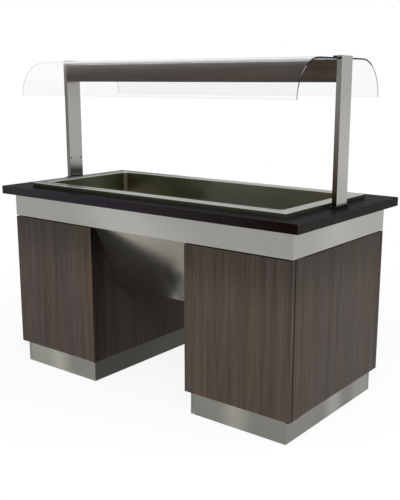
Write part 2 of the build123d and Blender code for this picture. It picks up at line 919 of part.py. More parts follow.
def band_packers():
    """Strips that carry the band on the pedestals and leave the shadow gap."""
    solids = []
    front = -side_half_depth + 2
    rear = body_half_depth - band_flange + 2
    for x in (left_pedestal, right_pedestal):
        span = (x + board + 10, x + pedestal_width - board - 24)
        solids.append(block(span, (front, front + packer_width), (board_top, band_bottom)))
        solids.append(block(span, (rear, rear + packer_width), (board_top, band_bottom)))
    return group(solids)


def plinth_levels():
    """Bottom and top of the plinth sheets."""
    return (floor_clearance, pedestal_bottom)


def plinth_front(x):
    """Plinth sheet folded round the front and the right-hand side, with a flange at its top."""
    t = plinth_sheet
    low, high = plinth_levels()
    right = x + pedestal_width - plinth_recess
    front = plinth_recess - body_half_depth
    start = x + plinth_left_margin + plinth_return + plinth_joint
    end = body_half_depth - plinth_rear_margin - plinth_return - plinth_joint
    line = FilletPolyline((start, front + t / 2), (right - t / 2, front + t / 2), (right - t / 2, end),
                          radius=2)
    web = Pos(0, 0, low) * extrude(trace(line, t), high - low)
    web += block((start, right - t), (front, front + plinth_flange), (high - t, high))
    return web + block((right - plinth_flange, right), (front + t, end), (high - t, high))


def plinth_rear(x):
    """Plinth sheet folded round the left-hand side and the rear, with a short return at each end."""
    t = plinth_sheet
    low, high = plinth_levels()
    left = x + plinth_left_margin
    right = x + pedestal_width - plinth_recess
    front = plinth_recess - body_half_depth
    rear = body_half_depth - plinth_rear_margin
    line = FilletPolyline(
        (left + plinth_return, front + t / 2),
        (left + t / 2, front + t / 2),
        (left + t / 2, rear - t / 2),
        (right - t / 2, rear - t / 2),
        (right - t / 2, rear - plinth_return),
        radius=2,
    )
    web = Pos(0, 0, low) * extrude(trace(line, t), high - low)
    return web + block((left, left + plinth_left_flange), (front + t, rear - t), (high - t, high))


foot_radius = 24
foot_neck_radius = 9
leg_top_radius = 29
leg_neck_radius = 15
leg_bottom = 45
stud_radius = 5
leg_spread_x = 165
leg_spread_y = 275


def leg_centres():
    """Places of the eight legs."""
    return [(x + pedestal_width / 2 + dx, dy) for x in (left_pedestal, right_pedestal)
            for dx, dy in four_corners(leg_spread_x, leg_spread_y)]


def leg_sockets():
    """Legs: a flange under the bottom board and a ribbed stem that takes the adjusting foot."""
    bore = stud_radius + 0.2
    top = pedestal_bottom - 0.5
    outline = Polyline(
        (bore, top),
        (leg_top_radius, top),
        (leg_top_radius, top - 3.5),
        (leg_neck_radius + 3, top - 9.5),
        (leg_neck_radius, leg_bottom),
        (bore, leg_bottom),
        close=True,
    )
    spacer = tube((0, 0), leg_neck_radius + 1, pedestal_bottom - 1, pedestal_bottom)
    leg = revolve(Plane.XZ * make_face(outline), Axis.Z) + spacer
    return group(Pos(x, y, 0) * leg for x, y in leg_centres())


def adjusting_feet():
    """Feet with a threaded stud and a lock nut, standing on the floor."""
    outline = Polyline(
        (0, 0),
        (foot_radius - 2, 0),
        (foot_radius, 2),
        (foot_radius, 8),
        (foot_neck_radius, 16),
        (foot_neck_radius, 22),
        (stud_radius, 22),
        (stud_radius, pedestal_bottom - 12),
        (0, pedestal_bottom - 12),
        close=True,
    )
    foot = revolve(Plane.XZ * make_face(outline), Axis.Z)
    nut_height = 8
    nut = Pos(0, 0, leg_bottom - nut_height) * extrude(RegularPolygon(foot_neck_radius, 6), nut_height)
    return group(Pos(x, y, 0) * (foot + nut) for x, y in leg_centres())


# Controls

def control_housing():
    """Sheet box behind the rear web of the band that covers the controls."""
    t = 1
    x = (thermostat_x - 40, pilot_x + 23)
    y = (306, body_half_depth - band_sheet)
    z = (control_box_bottom, control_box_bottom + 90)
    box = block(x, y, z)
    box -= block((x[0] + t, x[1] - t), (y[0] + t, y[1] + 1), (z[0] + t, z[1] - t))
    return box - tube((conduit_x, conduit_y), conduit_bore, z[0] - 1, z[0] + t + 1)


def thermostat_body():
    """Capillary thermostat fixed to the back of the band."""
    rear = body_half_depth - band_sheet
    half_width, half_height = 22, 20
    depth = 34
    body = block((thermostat_x - half_width, thermostat_x + half_width), (rear - depth, rear),
                 (control_height - half_height, control_height + half_height))
    body = chamfer(body.edges().filter_by(Axis.Y), 4)
    return body - bar_y(thermostat_x, control_height, shaft_radius + pivot_play, rear - shaft_seat, rear + 1)


def thermostat_knob():
    """Turned knob with a skirt, a grip bar and its shaft."""
    face = body_half_depth + 1
    skirt_height = 4
    knob_height = 17
    skirt = bar_y(thermostat_x, control_height, knob_radius, face, face + skirt_height)
    skirt = chamfer(skirt.faces().sort_by(Axis.Y)[-1].edges(), 1)
    drum = bar_y(thermostat_x, control_height, knob_radius - 4, face + skirt_height - 1, face + knob_height)
    drum = fillet(drum.faces().sort_by(Axis.Y)[-1].edges(), 2)
    knob = skirt + drum
    half_grip = 4
    beyond = 30
    for side in (-1, 1):
        x = sorted((thermostat_x + side * half_grip, thermostat_x + side * beyond))
        knob -= block(x, (face + skirt_height + 2, face + knob_height + 1),
                      (control_height - beyond, control_height + beyond))
    return knob + bar_y(thermostat_x, control_height, shaft_radius, face - shaft_seat, face + 1)


switch_half_width = 9.8
switch_half_height = 13.8
rocker_half_width = 7.6
rocker_half_height = 11.2
trunnion_radius = 1.6
trunnion_reach = 9


def trunnion_bar(x, radius, reach):
    """Bar on the pivot of a rocker, the same length on both sides."""
    pivot = body_half_depth - rocker_pivot_depth
    return extrude(Plane.YZ.offset(x - reach) * Pos(pivot, control_height) * Circle(radius), 2 * reach)


def switch_body(x):
    """Switch case behind the band with a bezel outside and a well for the rocker."""
    outside = body_half_depth
    depth = 24
    room_depth = 10
    bezel_half_width, bezel_half_height, bezel_sheet = 12, 16, 1.5
    room_half_width = rocker_half_width + clearance
    room_half_height = rocker_half_height + 1.4
    case = block((x - switch_half_width, x + switch_half_width), (outside - depth, outside),
                 (control_height - switch_half_height, control_height + switch_half_height))
    bezel = block((x - bezel_half_width, x + bezel_half_width), (outside, outside + bezel_sheet),
                  (control_height - bezel_half_height, control_height + bezel_half_height))
    bezel = chamfer(bezel.faces().sort_by(Axis.Y)[-1].edges(), bezel_sheet / 2)
    room = block((x - room_half_width, x + room_half_width),
                 (outside - room_depth, outside + bezel_sheet + 1),
                 (control_height - room_half_height, control_height + room_half_height))
    seat = trunnion_bar(x, trunnion_radius + pivot_play, trunnion_reach + clearance)
    return case + bezel - room - seat


def rocker(x):
    """Rocker on its trunnions, tipped to its off side."""
    pivot = body_half_depth - rocker_pivot_depth
    half = rocker_half_height
    outline = Polyline((-3, -half), (7, -half), (5.6, 0), (7, half), (-3, half), (-4.2, 0), close=True)
    cap = extrude(Plane.YZ.offset(-rocker_half_width) * make_face(outline), 2 * rocker_half_width)
    cap = Pos(x, pivot, control_height) * Rot(rocker_angle, 0, 0) * cap
    return cap + trunnion_bar(x, trunnion_radius, trunnion_reach)


def pilot_lamp():
    """Round lens with a stem through the band."""
    outside = body_half_depth
    lens_radius, lens_height = 7, 4
    stem_length = 22
    lens = bar_y(pilot_x, control_height, lens_radius, outside, outside + lens_height)
    lens = fillet(lens.faces().sort_by(Axis.Y)[-1].edges(), 2.5)
    return lens + bar_y(pilot_x, control_height, control_hole_radius - 0.2, outside - stem_length, outside)


def supply_conduit():
    """Rigid conduit from the control housing down to the junction box."""
    low, high = gland_height + box_half_height, control_box_bottom
    return (tube((conduit_x, conduit_y), conduit_radius, low, high)
            - tube((conduit_x, conduit_y), conduit_bore, low - 1, high + 1))


def junction_box():
    """Terminal box on the inside of the rear panel."""
    rear = body_half_depth - board
    front = rear - 60
    half_width, half_height, t = 50, box_half_height, box_wall
    case = block((conduit_x - half_width, conduit_x + half_width), (front, rear),
                 (gland_height - half_height, gland_height + half_height))
    case = fillet(case.edges().filter_by(Axis.Y), 2 * t)
    case -= block((conduit_x - half_width + t, conduit_x + half_width - t), (front + t, rear - t),
                  (gland_height - half_height + t, gland_height + half_height - t))
    case -= tube((conduit_x, conduit_y), conduit_bore, gland_height, gland_height + half_height + 1)
    return case - bar_y(conduit_x, gland_height, gland_hole_radius, rear - t - 1, rear + 1)


def supply_gland():
    """Cable gland through the rear panel: hexagon, domed nut, stem and inner lock nut."""
    outside = body_half_depth
    inside = body_half_depth - board - box_wall
    hexagon = Pos(conduit_x, gland_height) * RegularPolygon(14, 6)
    hexagon_height, nut_height, dome_height, thread_length = 6, 5, 17, 8
    dome = bar_y(conduit_x, gland_height, 12, outside + hexagon_height - 1, outside + dome_height)
    dome = fillet(dome.faces().sort_by(Axis.Y)[-1].edges(), 4)
    gland = dome + extrude(Plane.XZ.offset(-outside) * hexagon, -hexagon_height)
    gland += extrude(Plane.XZ.offset(-inside) * hexagon, nut_height)
    gland += bar_y(conduit_x, gland_height, gland_hole_radius - 0.2, inside - thread_length, outside + 1)
    return gland - bar_y(conduit_x, gland_height, cord_bore,
                         inside - thread_length - 1, outside + dome_height + 1)


pedestals = {"left": left_pedestal, "right": right_pedestal}

nodes = {
    "worktop": worktop(),
    "fascia_band": fascia_band(),
    "cross_members": cross_members(),
    "worktop_pads": worktop_pads(),
    "well_rim": well_rim(),
    "rim_seal": rim_seal(),
    "well_tank": well_tank(),
    "tank_insulation": tank_insulation(),
    "heater_tray": heater_tray(),
    "tray_straps": tray_straps(),
    "heater_elements": heater_elements(),
    "element_terminals": element_terminals(),
    "underbody_housing": underbody_housing(),
    "drain_outlet": drain_outlet(),
    "drain_strainer": drain_strainer(),
    "drain_pipe": drain_pipe(),
    "drain_valve_body": drain_valve_body(),
    "drain_valve_lever": drain_valve_lever(),
    "gantry_posts": group(both_ends(post())),
    "post_collars": group(both_ends(post_collar())),
    "post_brackets": group(both_ends(post_bracket())),
    "post_spigots": group(both_ends(post_spigot())),
    "post_screws": post_screws(),
    "gantry_bolts": gantry_bolts(),
    "beam_boards": group([beam_board_piece(True), beam_board_piece(False)]),
    "beam_core": beam_core(),
    "lamp_reflector": lamp_reflector(),
    "heat_lamps": heat_lamps(),
    "lamp_holders": lamp_holders(),
    "lamp_glass": lamp_glass(),
    "canopy_glass": canopy_glass(),
    "canopy_gaskets": canopy_gaskets(),
    "canopy_clamps": canopy_clamps(),
    "inner_boards": inner_boards(),
    "rear_panels": group(rear_panel(x) for x in pedestals.values()),
    "shelves": group(shelf(x) for x in pedestals.values()),
    "shelf_pins": shelf_pins(),
    "hinge_leaves": group(leaf for x in pedestals.values() for leaf in hinge_leaves(x)),
    "push_latches": group(push_latch(x) for x in pedestals.values()),
    "band_packers": band_packers(),
    "plinth_front_sheets": group(plinth_front(x) for x in pedestals.values()),
    "plinth_rear_sheets": group(plinth_rear(x) for x in pedestals.values()),
    "leg_sockets": leg_sockets(),
    "adjusting_feet": adjusting_feet(),
    "control_housing": control_housing(),
    "thermostat_body": thermostat_body(),
    "thermostat_knob": thermostat_knob(),
    "switch_bodies": group([switch_body(heat_switch_x), switch_body(lamp_switch_x)]),
    "heat_rocker": rocker(heat_switch_x),
    "lamp_rocker": rocker(lamp_switch_x),
    "pilot_lamp": pilot_lamp(),
    "supply_conduit": supply_conduit(),
    "junction_box": junction_box(),
    "supply_gland": supply_gland(),
}
for name, x in pedestals.items():
    nodes[name + "_side_boards"] = group([inner_side(x), outer_side(x)])
    nodes[name + "_door"] = door(x)
    nodes[name + "_door_fittings"] = group([*door_leaves(x), latch_strike(x)])

os.makedirs("parts", exist_ok=True)
for name, shape in nodes.items():
    export_step(shape, f"parts/{name}.step")
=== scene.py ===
import math

import bmesh
import bpy
from bpy.props import FloatProperty, FloatVectorProperty, IntProperty, PointerProperty
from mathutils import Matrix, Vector


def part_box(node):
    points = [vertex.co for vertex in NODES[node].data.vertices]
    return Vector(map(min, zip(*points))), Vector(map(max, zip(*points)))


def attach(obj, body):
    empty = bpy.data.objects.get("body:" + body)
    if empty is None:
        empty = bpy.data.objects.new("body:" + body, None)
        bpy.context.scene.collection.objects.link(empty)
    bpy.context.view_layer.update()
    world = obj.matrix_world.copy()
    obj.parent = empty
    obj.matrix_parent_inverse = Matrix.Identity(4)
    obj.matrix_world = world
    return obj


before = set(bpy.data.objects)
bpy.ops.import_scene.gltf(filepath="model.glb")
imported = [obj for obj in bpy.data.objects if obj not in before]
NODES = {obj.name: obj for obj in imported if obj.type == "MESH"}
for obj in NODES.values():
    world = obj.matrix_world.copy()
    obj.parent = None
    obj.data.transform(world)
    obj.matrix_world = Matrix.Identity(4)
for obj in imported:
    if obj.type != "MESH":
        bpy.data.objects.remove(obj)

bl_info = {
    "name": "Heated Salad Bar",
    "version": (1, 0, 0),
    "blender": (4, 5, 0),
    "location": "View3D > Sidebar > Salad Bar",
    "description": "Finishes and small fittings of a heated salad bar, with its studio",
    "category": "Object",
}


# Places on the counter, in metres

WORKTOP_END, WORKTOP_FRONT = 0.832, -0.420
BODY_END = 0.788
REAR_FACE = 0.376
KNEE_SIDE = -0.271
DOOR_GAP = -0.355
PLINTH_INSET = 0.030
WELL_END, WELL_SIDE = 0.665, 0.267
RIM_END, RIM_SIDE, RIM_TOP = 0.723, 0.325, 0.9155
TANK_FLOOR = 0.792
POST_SIDE = 0.044
CANOPY_END, CANOPY_SIDE, CANOPY_FOOT = 0.756, 0.330, 1.330

ROCKERS = {"heat_rocker": 0.540, "lamp_rocker": 0.590}
PILOT_LAMP = 0.632
GLAND_X, GLAND_HEIGHT = 0.560, 0.200
BOX_FRONT = 0.297
VALVE_HEIGHT, VALVE_NUT_Y = 0.400, 0.0364
LAMPS = (-0.555, -0.185, 0.185, 0.555)


# Settings

class SaladBarFinishes(bpy.types.PropertyGroup):
    """Colours and surface sizes of the finishes."""
    laminate: FloatVectorProperty(
        name="Laminate", description="Middle colour of the dark wood laminate", subtype="COLOR", size=3,
        default=(0.058, 0.046, 0.038), min=0, max=1)
    granite: FloatVectorProperty(
        name="Granite", description="Ground colour of the worktop", subtype="COLOR", size=3,
        default=(0.013, 0.012, 0.012), min=0, max=1)
    band: FloatVectorProperty(
        name="Band steel", description="Colour of the band under the worktop", subtype="COLOR", size=3,
        default=(0.42, 0.415, 0.39), min=0, max=1)
    posts: FloatVectorProperty(
        name="Post steel", description="Colour of the wide faces of the posts", subtype="COLOR", size=3,
        default=(0.40, 0.395, 0.37), min=0, max=1)
    plinth: FloatVectorProperty(
        name="Plinth steel", description="Colour of the plinth sheets", subtype="COLOR", size=3,
        default=(0.235, 0.23, 0.205), min=0, max=1)
    tank: FloatVectorProperty(
        name="Tank steel", description="Colour of the tank inside the well", subtype="COLOR", size=3,
        default=(0.34, 0.35, 0.28), min=0, max=1)
    housing: FloatVectorProperty(
        name="Housing steel", description="Colour of the sloped housing under the well", subtype="COLOR",
        size=3, default=(0.375, 0.355, 0.305), min=0, max=1)
    beam: FloatVectorProperty(
        name="Beam boards", description="Middle colour of the boards on the lamp beam", subtype="COLOR",
        size=3, default=(0.056, 0.041, 0.031), min=0, max=1)
    grain_width: FloatProperty(
        name="Grain width", description="Width of one fine streak of the laminate", unit="LENGTH",
        default=0.003, min=0.0005, max=0.02)
    brush_width: FloatProperty(
        name="Brush width", description="Width of one brush mark on the satin steel", unit="LENGTH",
        default=0.0012, min=0.0002, max=0.01)


class SaladBarFittings(bpy.types.PropertyGroup):
    """Sizes and places of the small fittings."""
    control_height: FloatProperty(
        name="Control height", description="Height of the controls above the floor", unit="LENGTH",
        default=0.809, min=0.5, max=1.2)
    thermostat_x: FloatProperty(
        name="Thermostat place", description="Place of the thermostat along the counter", unit="LENGTH",
        default=0.470, min=0.3, max=0.5)
    scale_radius: FloatProperty(
        name="Scale radius", description="Outer radius of the thermostat scale", unit="LENGTH",
        default=0.031, min=0.024, max=0.036)
    scale_marks: IntProperty(
        name="Scale marks", description="Number of marks round the thermostat scale",
        default=11, min=3, max=21)
    rocker_tip: FloatProperty(
        name="Rocker tip", description="How far the rockers lean to their off side", unit="ROTATION",
        default=math.radians(8), min=0, max=math.radians(15))
    screw_radius: FloatProperty(
        name="Screw head radius", description="Radius of the screw heads on the rear panels", unit="LENGTH",
        default=0.0041, min=0.002, max=0.008)
    coil_radius: FloatProperty(
        name="Coil radius", description="Radius of the filament coil in a lamp", unit="LENGTH",
        default=0.0016, min=0.0008, max=0.003)
    coil_pitch: FloatProperty(
        name="Coil pitch", description="Distance from one turn of the filament to the next", unit="LENGTH",
        default=0.0045, min=0.002, max=0.01)


class SaladBarStudio(bpy.types.PropertyGroup):
    """Sizes and colours of the studio."""
    floor_radius: FloatProperty(
        name="Floor radius", description="Radius of the studio floor", unit="LENGTH",
        default=14.0, min=2, max=50)
    floor_fade: FloatProperty(
        name="Floor fade", description="Distance from the middle at which the floor has turned white",
        unit="LENGTH", default=2.9, min=1, max=10)
    floor_colour: FloatVectorProperty(
        name="Floor colour", description="Colour of the floor around the object", subtype="COLOR", size=3,
        default=(0.86, 0.86, 0.86), min=0, max=1)
    floor_veil: FloatProperty(
        name="Floor veil", description="How far the floor beside the object is already white", default=0.86,
        min=0, max=1)
    ambient: FloatProperty(
        name="Ambient light", description="Strength of the light from all round", default=0.72, min=0, max=3)
    key_power: FloatProperty(
        name="Key light", description="Power of the large soft light", unit="POWER",
        default=120.0, min=0, max=2000)
    lens: FloatProperty(
        name="Lens", description="Focal length of the camera in millimetres",
        default=55.38, min=10, max=200)
    camera_place: FloatVectorProperty(
        name="Camera place", description="Where the camera stands", subtype="TRANSLATION", size=3,
        default=(2.2140, -2.7355, 1.4033))
    camera_heading: FloatProperty(
        name="Camera heading", description="Turn of the view from +Y towards -X", unit="ROTATION",
        default=math.radians(38.24))
    camera_tilt: FloatProperty(
        name="Camera tilt", description="Angle of the view below the horizon", unit="ROTATION",
        default=math.radians(12.53))


# Shader maths

class Value:
    """A shader socket that can stand in a sum: each operator adds a Math node to its tree."""

    def __init__(self, pattern, socket):
        self.pattern = pattern
        self.socket = socket

    def maths(self, operation, first, second=0.0):
        return self.pattern.node("ShaderNodeMath", {"operation": operation}, {0: first, 1: second})

    def __add__(self, other):
        return self.maths("ADD", self, other)

    def __sub__(self, other):
        return self.maths("SUBTRACT", self, other)

    def __rsub__(self, other):
        return self.maths("SUBTRACT", other, self)

    def __mul__(self, other):
        return self.maths("MULTIPLY", self, other)

    def __pow__(self, other):
        return self.maths("POWER", self, other)

    def __gt__(self, other):
        return self.maths("GREATER_THAN", self, other)

    def __lt__(self, other):
        return self.maths("LESS_THAN", self, other)

    def __abs__(self):
        return self.maths("ABSOLUTE", self)

    __radd__ = __add__
    __rmul__ = __mul__


class Pattern:
    """The node tree of one material or world, from its coordinates to its shader."""

    def __init__(self, name, kind="materials", shader="Principled BSDF"):
        self.material = getattr(bpy.data, kind).new(name)
        self.material.use_nodes = True
        self.tree = self.material.node_tree
        self.shader = self.tree.nodes[shader]
        self.place = self.node("ShaderNodeTexCoord", output="Object")

    def node(self, kind, settings=None, sockets=None, output=0):
        """Adds a node, makes its settings, fills its sockets and returns one output."""
        new = self.tree.nodes.new(kind)
        for key, value in (settings or {}).items():
            if key == "stops":
                self.stops(new.color_ramp, value)
            else:
                setattr(new, key, value)
        for key, value in (sockets or {}).items():
            self.fill(new.inputs[key], value)
        return Value(self, new.outputs[output])

    def stops(self, ramp, places):
        """Gives a colour ramp its stops, as pairs of place and colour."""
        while len(ramp.elements) < len(places):
            ramp.elements.new(1.0)
        for element, (place, colour) in zip(ramp.elements, places):
            element.position = place
            element.color = (*colour, 1.0)

    def fill(self, socket, value):
        """Links a value to a socket, or sets the socket's own number or colour."""
        if isinstance(value, Value):
            self.tree.links.new(value.socket, socket)
        elif socket.type == "RGBA":
            socket.default_value = (*value, 1.0)
        else:
            socket.default_value = value

    def axes(self, letters="XYZ"):
        """The named parts of the place."""
        split = self.node("ShaderNodeSeparateXYZ", None, {0: self.place})
        return [Value(self, split.socket.node.outputs[letter]) for letter in letters]

    def stretched(self, scale):
        """The place, scaled along each axis."""
        return self.node("ShaderNodeMapping", None, {"Vector": self.place, "Scale": scale})

    def noise(self, scale, detail=2.0, roughness=0.5):
        """Cloudy pattern about 0.5, with its own scale along each axis."""
        sockets = {"Vector": self.stretched(scale), "Scale": 1.0, "Detail": detail, "Roughness": roughness}
        return self.node("ShaderNodeTexNoise", None, sockets)

    def cells(self, scale):
        """Small cells, each with a random value of its own."""
        sockets = {"Vector": self.place, "Scale": scale}
        colours = self.node("ShaderNodeTexVoronoi", {"feature": "F1"}, sockets, output="Color")
        return self.node("ShaderNodeSeparateColor", None, {0: colours})

    def ramp(self, value, places):
        """Colour ramp over a value."""
        return self.node("ShaderNodeValToRGB", {"stops": places}, {0: value})

    def smooth(self, value, low, high):
        """0 below low, 1 above high, and smooth between them."""
        sockets = {"Value": value, "From Min": low, "From Max": high}
        return self.node("ShaderNodeMapRange", {"interpolation_type": "SMOOTHSTEP"}, sockets)

    def largest(self, first, second):
        """The larger of two values."""
        return self.node("ShaderNodeMath", {"operation": "MAXIMUM"}, {0: first, 1: second})

    def smallest(self, first, second):
        """The smaller of two values."""
        return self.node("ShaderNodeMath", {"operation": "MINIMUM"}, {0: first, 1: second})

    def mix(self, factor, first, second, blend="MIX"):
        """Mixes two colours."""
        settings = {"data_type": "RGBA", "blend_type": blend}
        return self.node("ShaderNodeMix", settings, {0: factor, 6: first, 7: second}, output=2)

    def tinted(self, colour, level):
        """A colour made lighter or darker by a value about 1."""
        half = level * 0.5
        grey = self.node("ShaderNodeCombineColor", None, {0: half, 1: half, 2: half})
        return self.mix(1.0, shade(colour, 2.0), grey, "MULTIPLY")

    def bump(self, height, distance, strength=1.0):
        """Bump of a height pattern, fed to the shader's normal."""
        sockets = {"Height": height, "Distance": distance, "Strength": strength}
        self.fill(self.shader.inputs["Normal"], self.node("ShaderNodeBump", None, sockets))

    def finish(self, **sockets):
        """Fills the shader's sockets, named with underscores, and returns the material."""
        for name, value in sockets.items():
            self.fill(self.shader.inputs[name.replace("_", " ")], value)
        return self.material


def shade(colour, factor):
    """A colour made lighter or darker."""
    return tuple(min(1.0, part * factor) for part in colour)


def grain_scale(along, across, axis):
    """Scale of a pattern that is long on one axis and narrow on the others."""
    return tuple(along if index == axis else across for index in range(3))


# Finishes

def laminate(name, colour, width, axis, tone=None):
    """Dark wood laminate: fine broken streaks over wider bands, warm and cool drifts and short dark pores."""
    p = Pattern(name)
    fine = p.noise(grain_scale(6.0, 1 / width, axis), 5.0, 0.66)
    streaks = p.noise(grain_scale(2.6, 0.40 / width, axis), 3.0, 0.6)
    bands = p.noise(grain_scale(0.7, 0.11 / width, axis), 2.0)
    drift = p.noise(grain_scale(0.9, 0.028 / width, axis), 2.0)
    pores = p.noise(grain_scale(26.0, 3.2 / width, axis), 2.0)
    colours = p.ramp(fine * 0.40 + streaks * 0.34 + bands * 0.26, [
        (0.30, shade(colour, 0.48)),
        (0.42, shade(colour, 0.76)),
        (0.50, shade(colour, 1.0)),
        (0.58, shade(colour, 1.24)),
        (0.70, shade(colour, 1.65)),
    ])
    warmth = p.mix(p.smooth(drift, 0.36, 0.62), (1.00, 0.99, 1.03), (1.04, 0.98, 0.86))
    colours = p.mix(1.0, colours, warmth, "MULTIPLY")
    pore = p.smooth(pores, 0.60, 0.72)
    colours = p.mix(pore * 0.5, colours, shade(colour, 0.38))
    # a tone, where given, paints shade into the colour
    if tone:
        colours = p.mix(1 - tone(p), colours, (0.0, 0.0, 0.0))
    p.bump(fine * 0.6 - pore * 0.4, 0.0003, 0.35)
    return p.finish(Base_Color=colours, Roughness=0.40 + fine * 0.14 + pore * 0.12, Specular_IOR_Level=0.08)


def board_painted_shade(p):
    """Painted shade on the boards: darker close under the band, beside the knee space, at the right end and
    at the gap behind a door.
    """
    x, y, z = p.axes()
    high = p.smooth(z, 0.50, 0.76)
    knee = 1 - p.smooth(abs(x - KNEE_SIDE), 0.0010, 0.0016)
    by_door = 1 - p.smooth(y, -0.36, -0.20)
    knee_shade = 0.44 + p.smooth(z, 0.30, 0.50) * 0.07 - high * 0.10 + by_door * 0.24
    right_end = p.smooth(x, BODY_END - 0.0010, BODY_END - 0.0005)
    tone = 1 - high * 0.34 - right_end * 0.06 - knee * knee_shade
    # painted shade in the gap behind a door, on the front edges of the side boards
    gap = p.largest(right_end, knee) * (1 - p.smooth(abs(y - DOOR_GAP), 0.0040, 0.0055))
    return tone * (1 - gap * 0.85)


def beam_painted_shade(p):
    """Painted shade that darkens the beam boards at both ends."""
    x, = p.axes("X")
    return 0.78 + p.smooth(x, -0.60, -0.25) * 0.14 - p.smooth(x, 0.52, 0.68) * 0.20


def brushed(name, colour, width, axis, roughness=0.3, contrast=0.10, cloud=0.06, tone=None, metallic=1.0,
            lean=0.0):
    """Satin steel: brush marks along one axis over slow clouds, with painted light and shade from a tone, and
    a slight lean of its own.
    """
    p = Pattern(name)
    marks = p.noise(grain_scale(2.2, 1 / width, axis), 4.0, 0.7)
    scratches = p.noise(grain_scale(9.0, 0.45 / width, axis), 2.0)
    clouds = p.noise((3.1, 3.1, 3.1), 2.0)
    level = 1 + (marks - 0.5) * contrast * 2 + (scratches - 0.5) * contrast + (clouds - 0.5) * cloud * 2
    # a tone, where given, paints light and shade into the level
    if tone:
        level = level * tone(p)
    depth, strength = 0.00008, 0.25
    height = marks + scratches * 0.5
    if lean:
        z, = p.axes("Z")
        height = height + z * (lean / depth / strength)
    p.bump(height, depth, strength)
    return p.finish(Base_Color=p.tinted(colour, level), Metallic=metallic,
                    Roughness=roughness + (marks - 0.5) * 0.12)


def band_painted_highlights(p):
    """Painted highlights: soft bright patches where the band catches the light, on its long webs and its
    ends.
    """
    x, y, z = p.axes()
    long_patch = 1 - p.smooth(abs(x + 0.06 + (z - 0.81) * 0.9), 0.0, 0.42)
    end_patch = 1 - p.smooth(abs(y + 0.02), 0.0, 0.30)
    end = abs(x) > BODY_END - 0.0015
    return 0.76 + long_patch * 0.24 * (1 - end) + end * (0.08 + end_patch * 0.12)


def rim_steel(settings):
    """Satin rim: light folded edges, painted dark reflections on the left flat and the outer wall, a skirt
    like the tank.
    """
    p = Pattern("satin_rim")
    marks = p.noise(grain_scale(2.2, 1 / settings.brush_width, 0), 4.0, 0.7)
    x, y, z = p.axes()
    past_inner = p.largest(abs(x) - WELL_END, abs(y) - WELL_SIDE)
    past_outer = p.largest(abs(x) - RIM_END, abs(y) - RIM_SIDE)
    top = p.smooth(z, RIM_TOP - 0.0012, RIM_TOP - 0.0006)
    edges = p.largest(1 - p.smooth(past_inner, 0.004, 0.009), p.smooth(past_outer, -0.009, -0.004))
    # painted dark reflection on the flat, strongest towards the left end
    shaded = 1 - p.smooth(x, -0.50, 0.00)
    flat = top * (1 - edges) * shaded
    wall = (1 - p.smooth(z, RIM_TOP - 0.0025, RIM_TOP - 0.0010)) * p.smooth(past_outer, -0.012, -0.008)
    skirt = (1 - p.smooth(past_inner, 0.003, 0.004)) * (1 - p.smooth(z, RIM_TOP - 0.0050, RIM_TOP - 0.0020))
    level = (1 + (marks - 0.5) * 0.10) * (1 - flat * 0.68)
    # the skirt takes the tank's painted reflections
    colours = p.mix(skirt, p.tinted(shade(settings.band, 1.1), level), tank_colours_with_painted_reflections(p, settings))
    # painted dark reflection on the outer wall, a dull dark colour in place of the steel
    colours = p.mix(wall, colours, (0.030, 0.030, 0.019))
    p.bump(marks, 0.00008, 0.25)
    return p.finish(Base_Color=colours, Metallic=1 - wall * 0.95 - flat * 0.66,
                    Roughness=0.16 + skirt * 0.18 + wall * 0.2, Specular_IOR_Level=0.0,
                    Specular_Tint=(0.60, 0.60, 0.59))


def plinth_painted_light(p):
    """Painted highlights on the fronts and the right side, and painted shade on the sheet beside the knee
    space.
    """
    x, y = p.axes("XY")
    left = x < 0
    patch = 1 - p.smooth(p.smallest(abs(x - 0.514), abs(x + 0.545)), 0.0, 0.10)
    right_end = BODY_END - PLINTH_INSET
    side = p.smooth(x, right_end - 0.0015, right_end - 0.0005)
    side_patch = 1 - p.smooth(abs(y - 0.036), 0.0, 0.11)
    # painted highlights on the fronts, brighter on the left plinth
    front = 0.84 + left * (0.10 + 0.20 * (1 - p.smooth(x, -0.56, -0.46))) + patch * 0.38
    right_side = 0.82 + side_patch * 0.46 - p.smooth(y, 0.08, 0.12) * 0.08 + p.smooth(y, 0.17, 0.24) * 0.26
    knee_sheet = KNEE_SIDE - PLINTH_INSET
    # painted shade on the sheet beside the knee space
    knee = left * p.smooth(x, knee_sheet - 0.0020, knee_sheet + 0.0005)
    return (front * (1 - side) + right_side * side) * (1 - knee * 0.83)


def housing_painted_reflections(p):
    """Painted reflections: bright along the top of the slopes, a little darker to the right and below."""
    x, z = p.axes("XZ")
    low_right = p.smooth(0.625 - z, 0.0, 0.06) * p.smooth(x, 0.04, 0.10) * (1 - p.smooth(x, 0.15, 0.19))
    return 0.82 - p.smooth(x * 0.8 - z, -0.76, -0.56) * 0.20 - low_right * 0.34


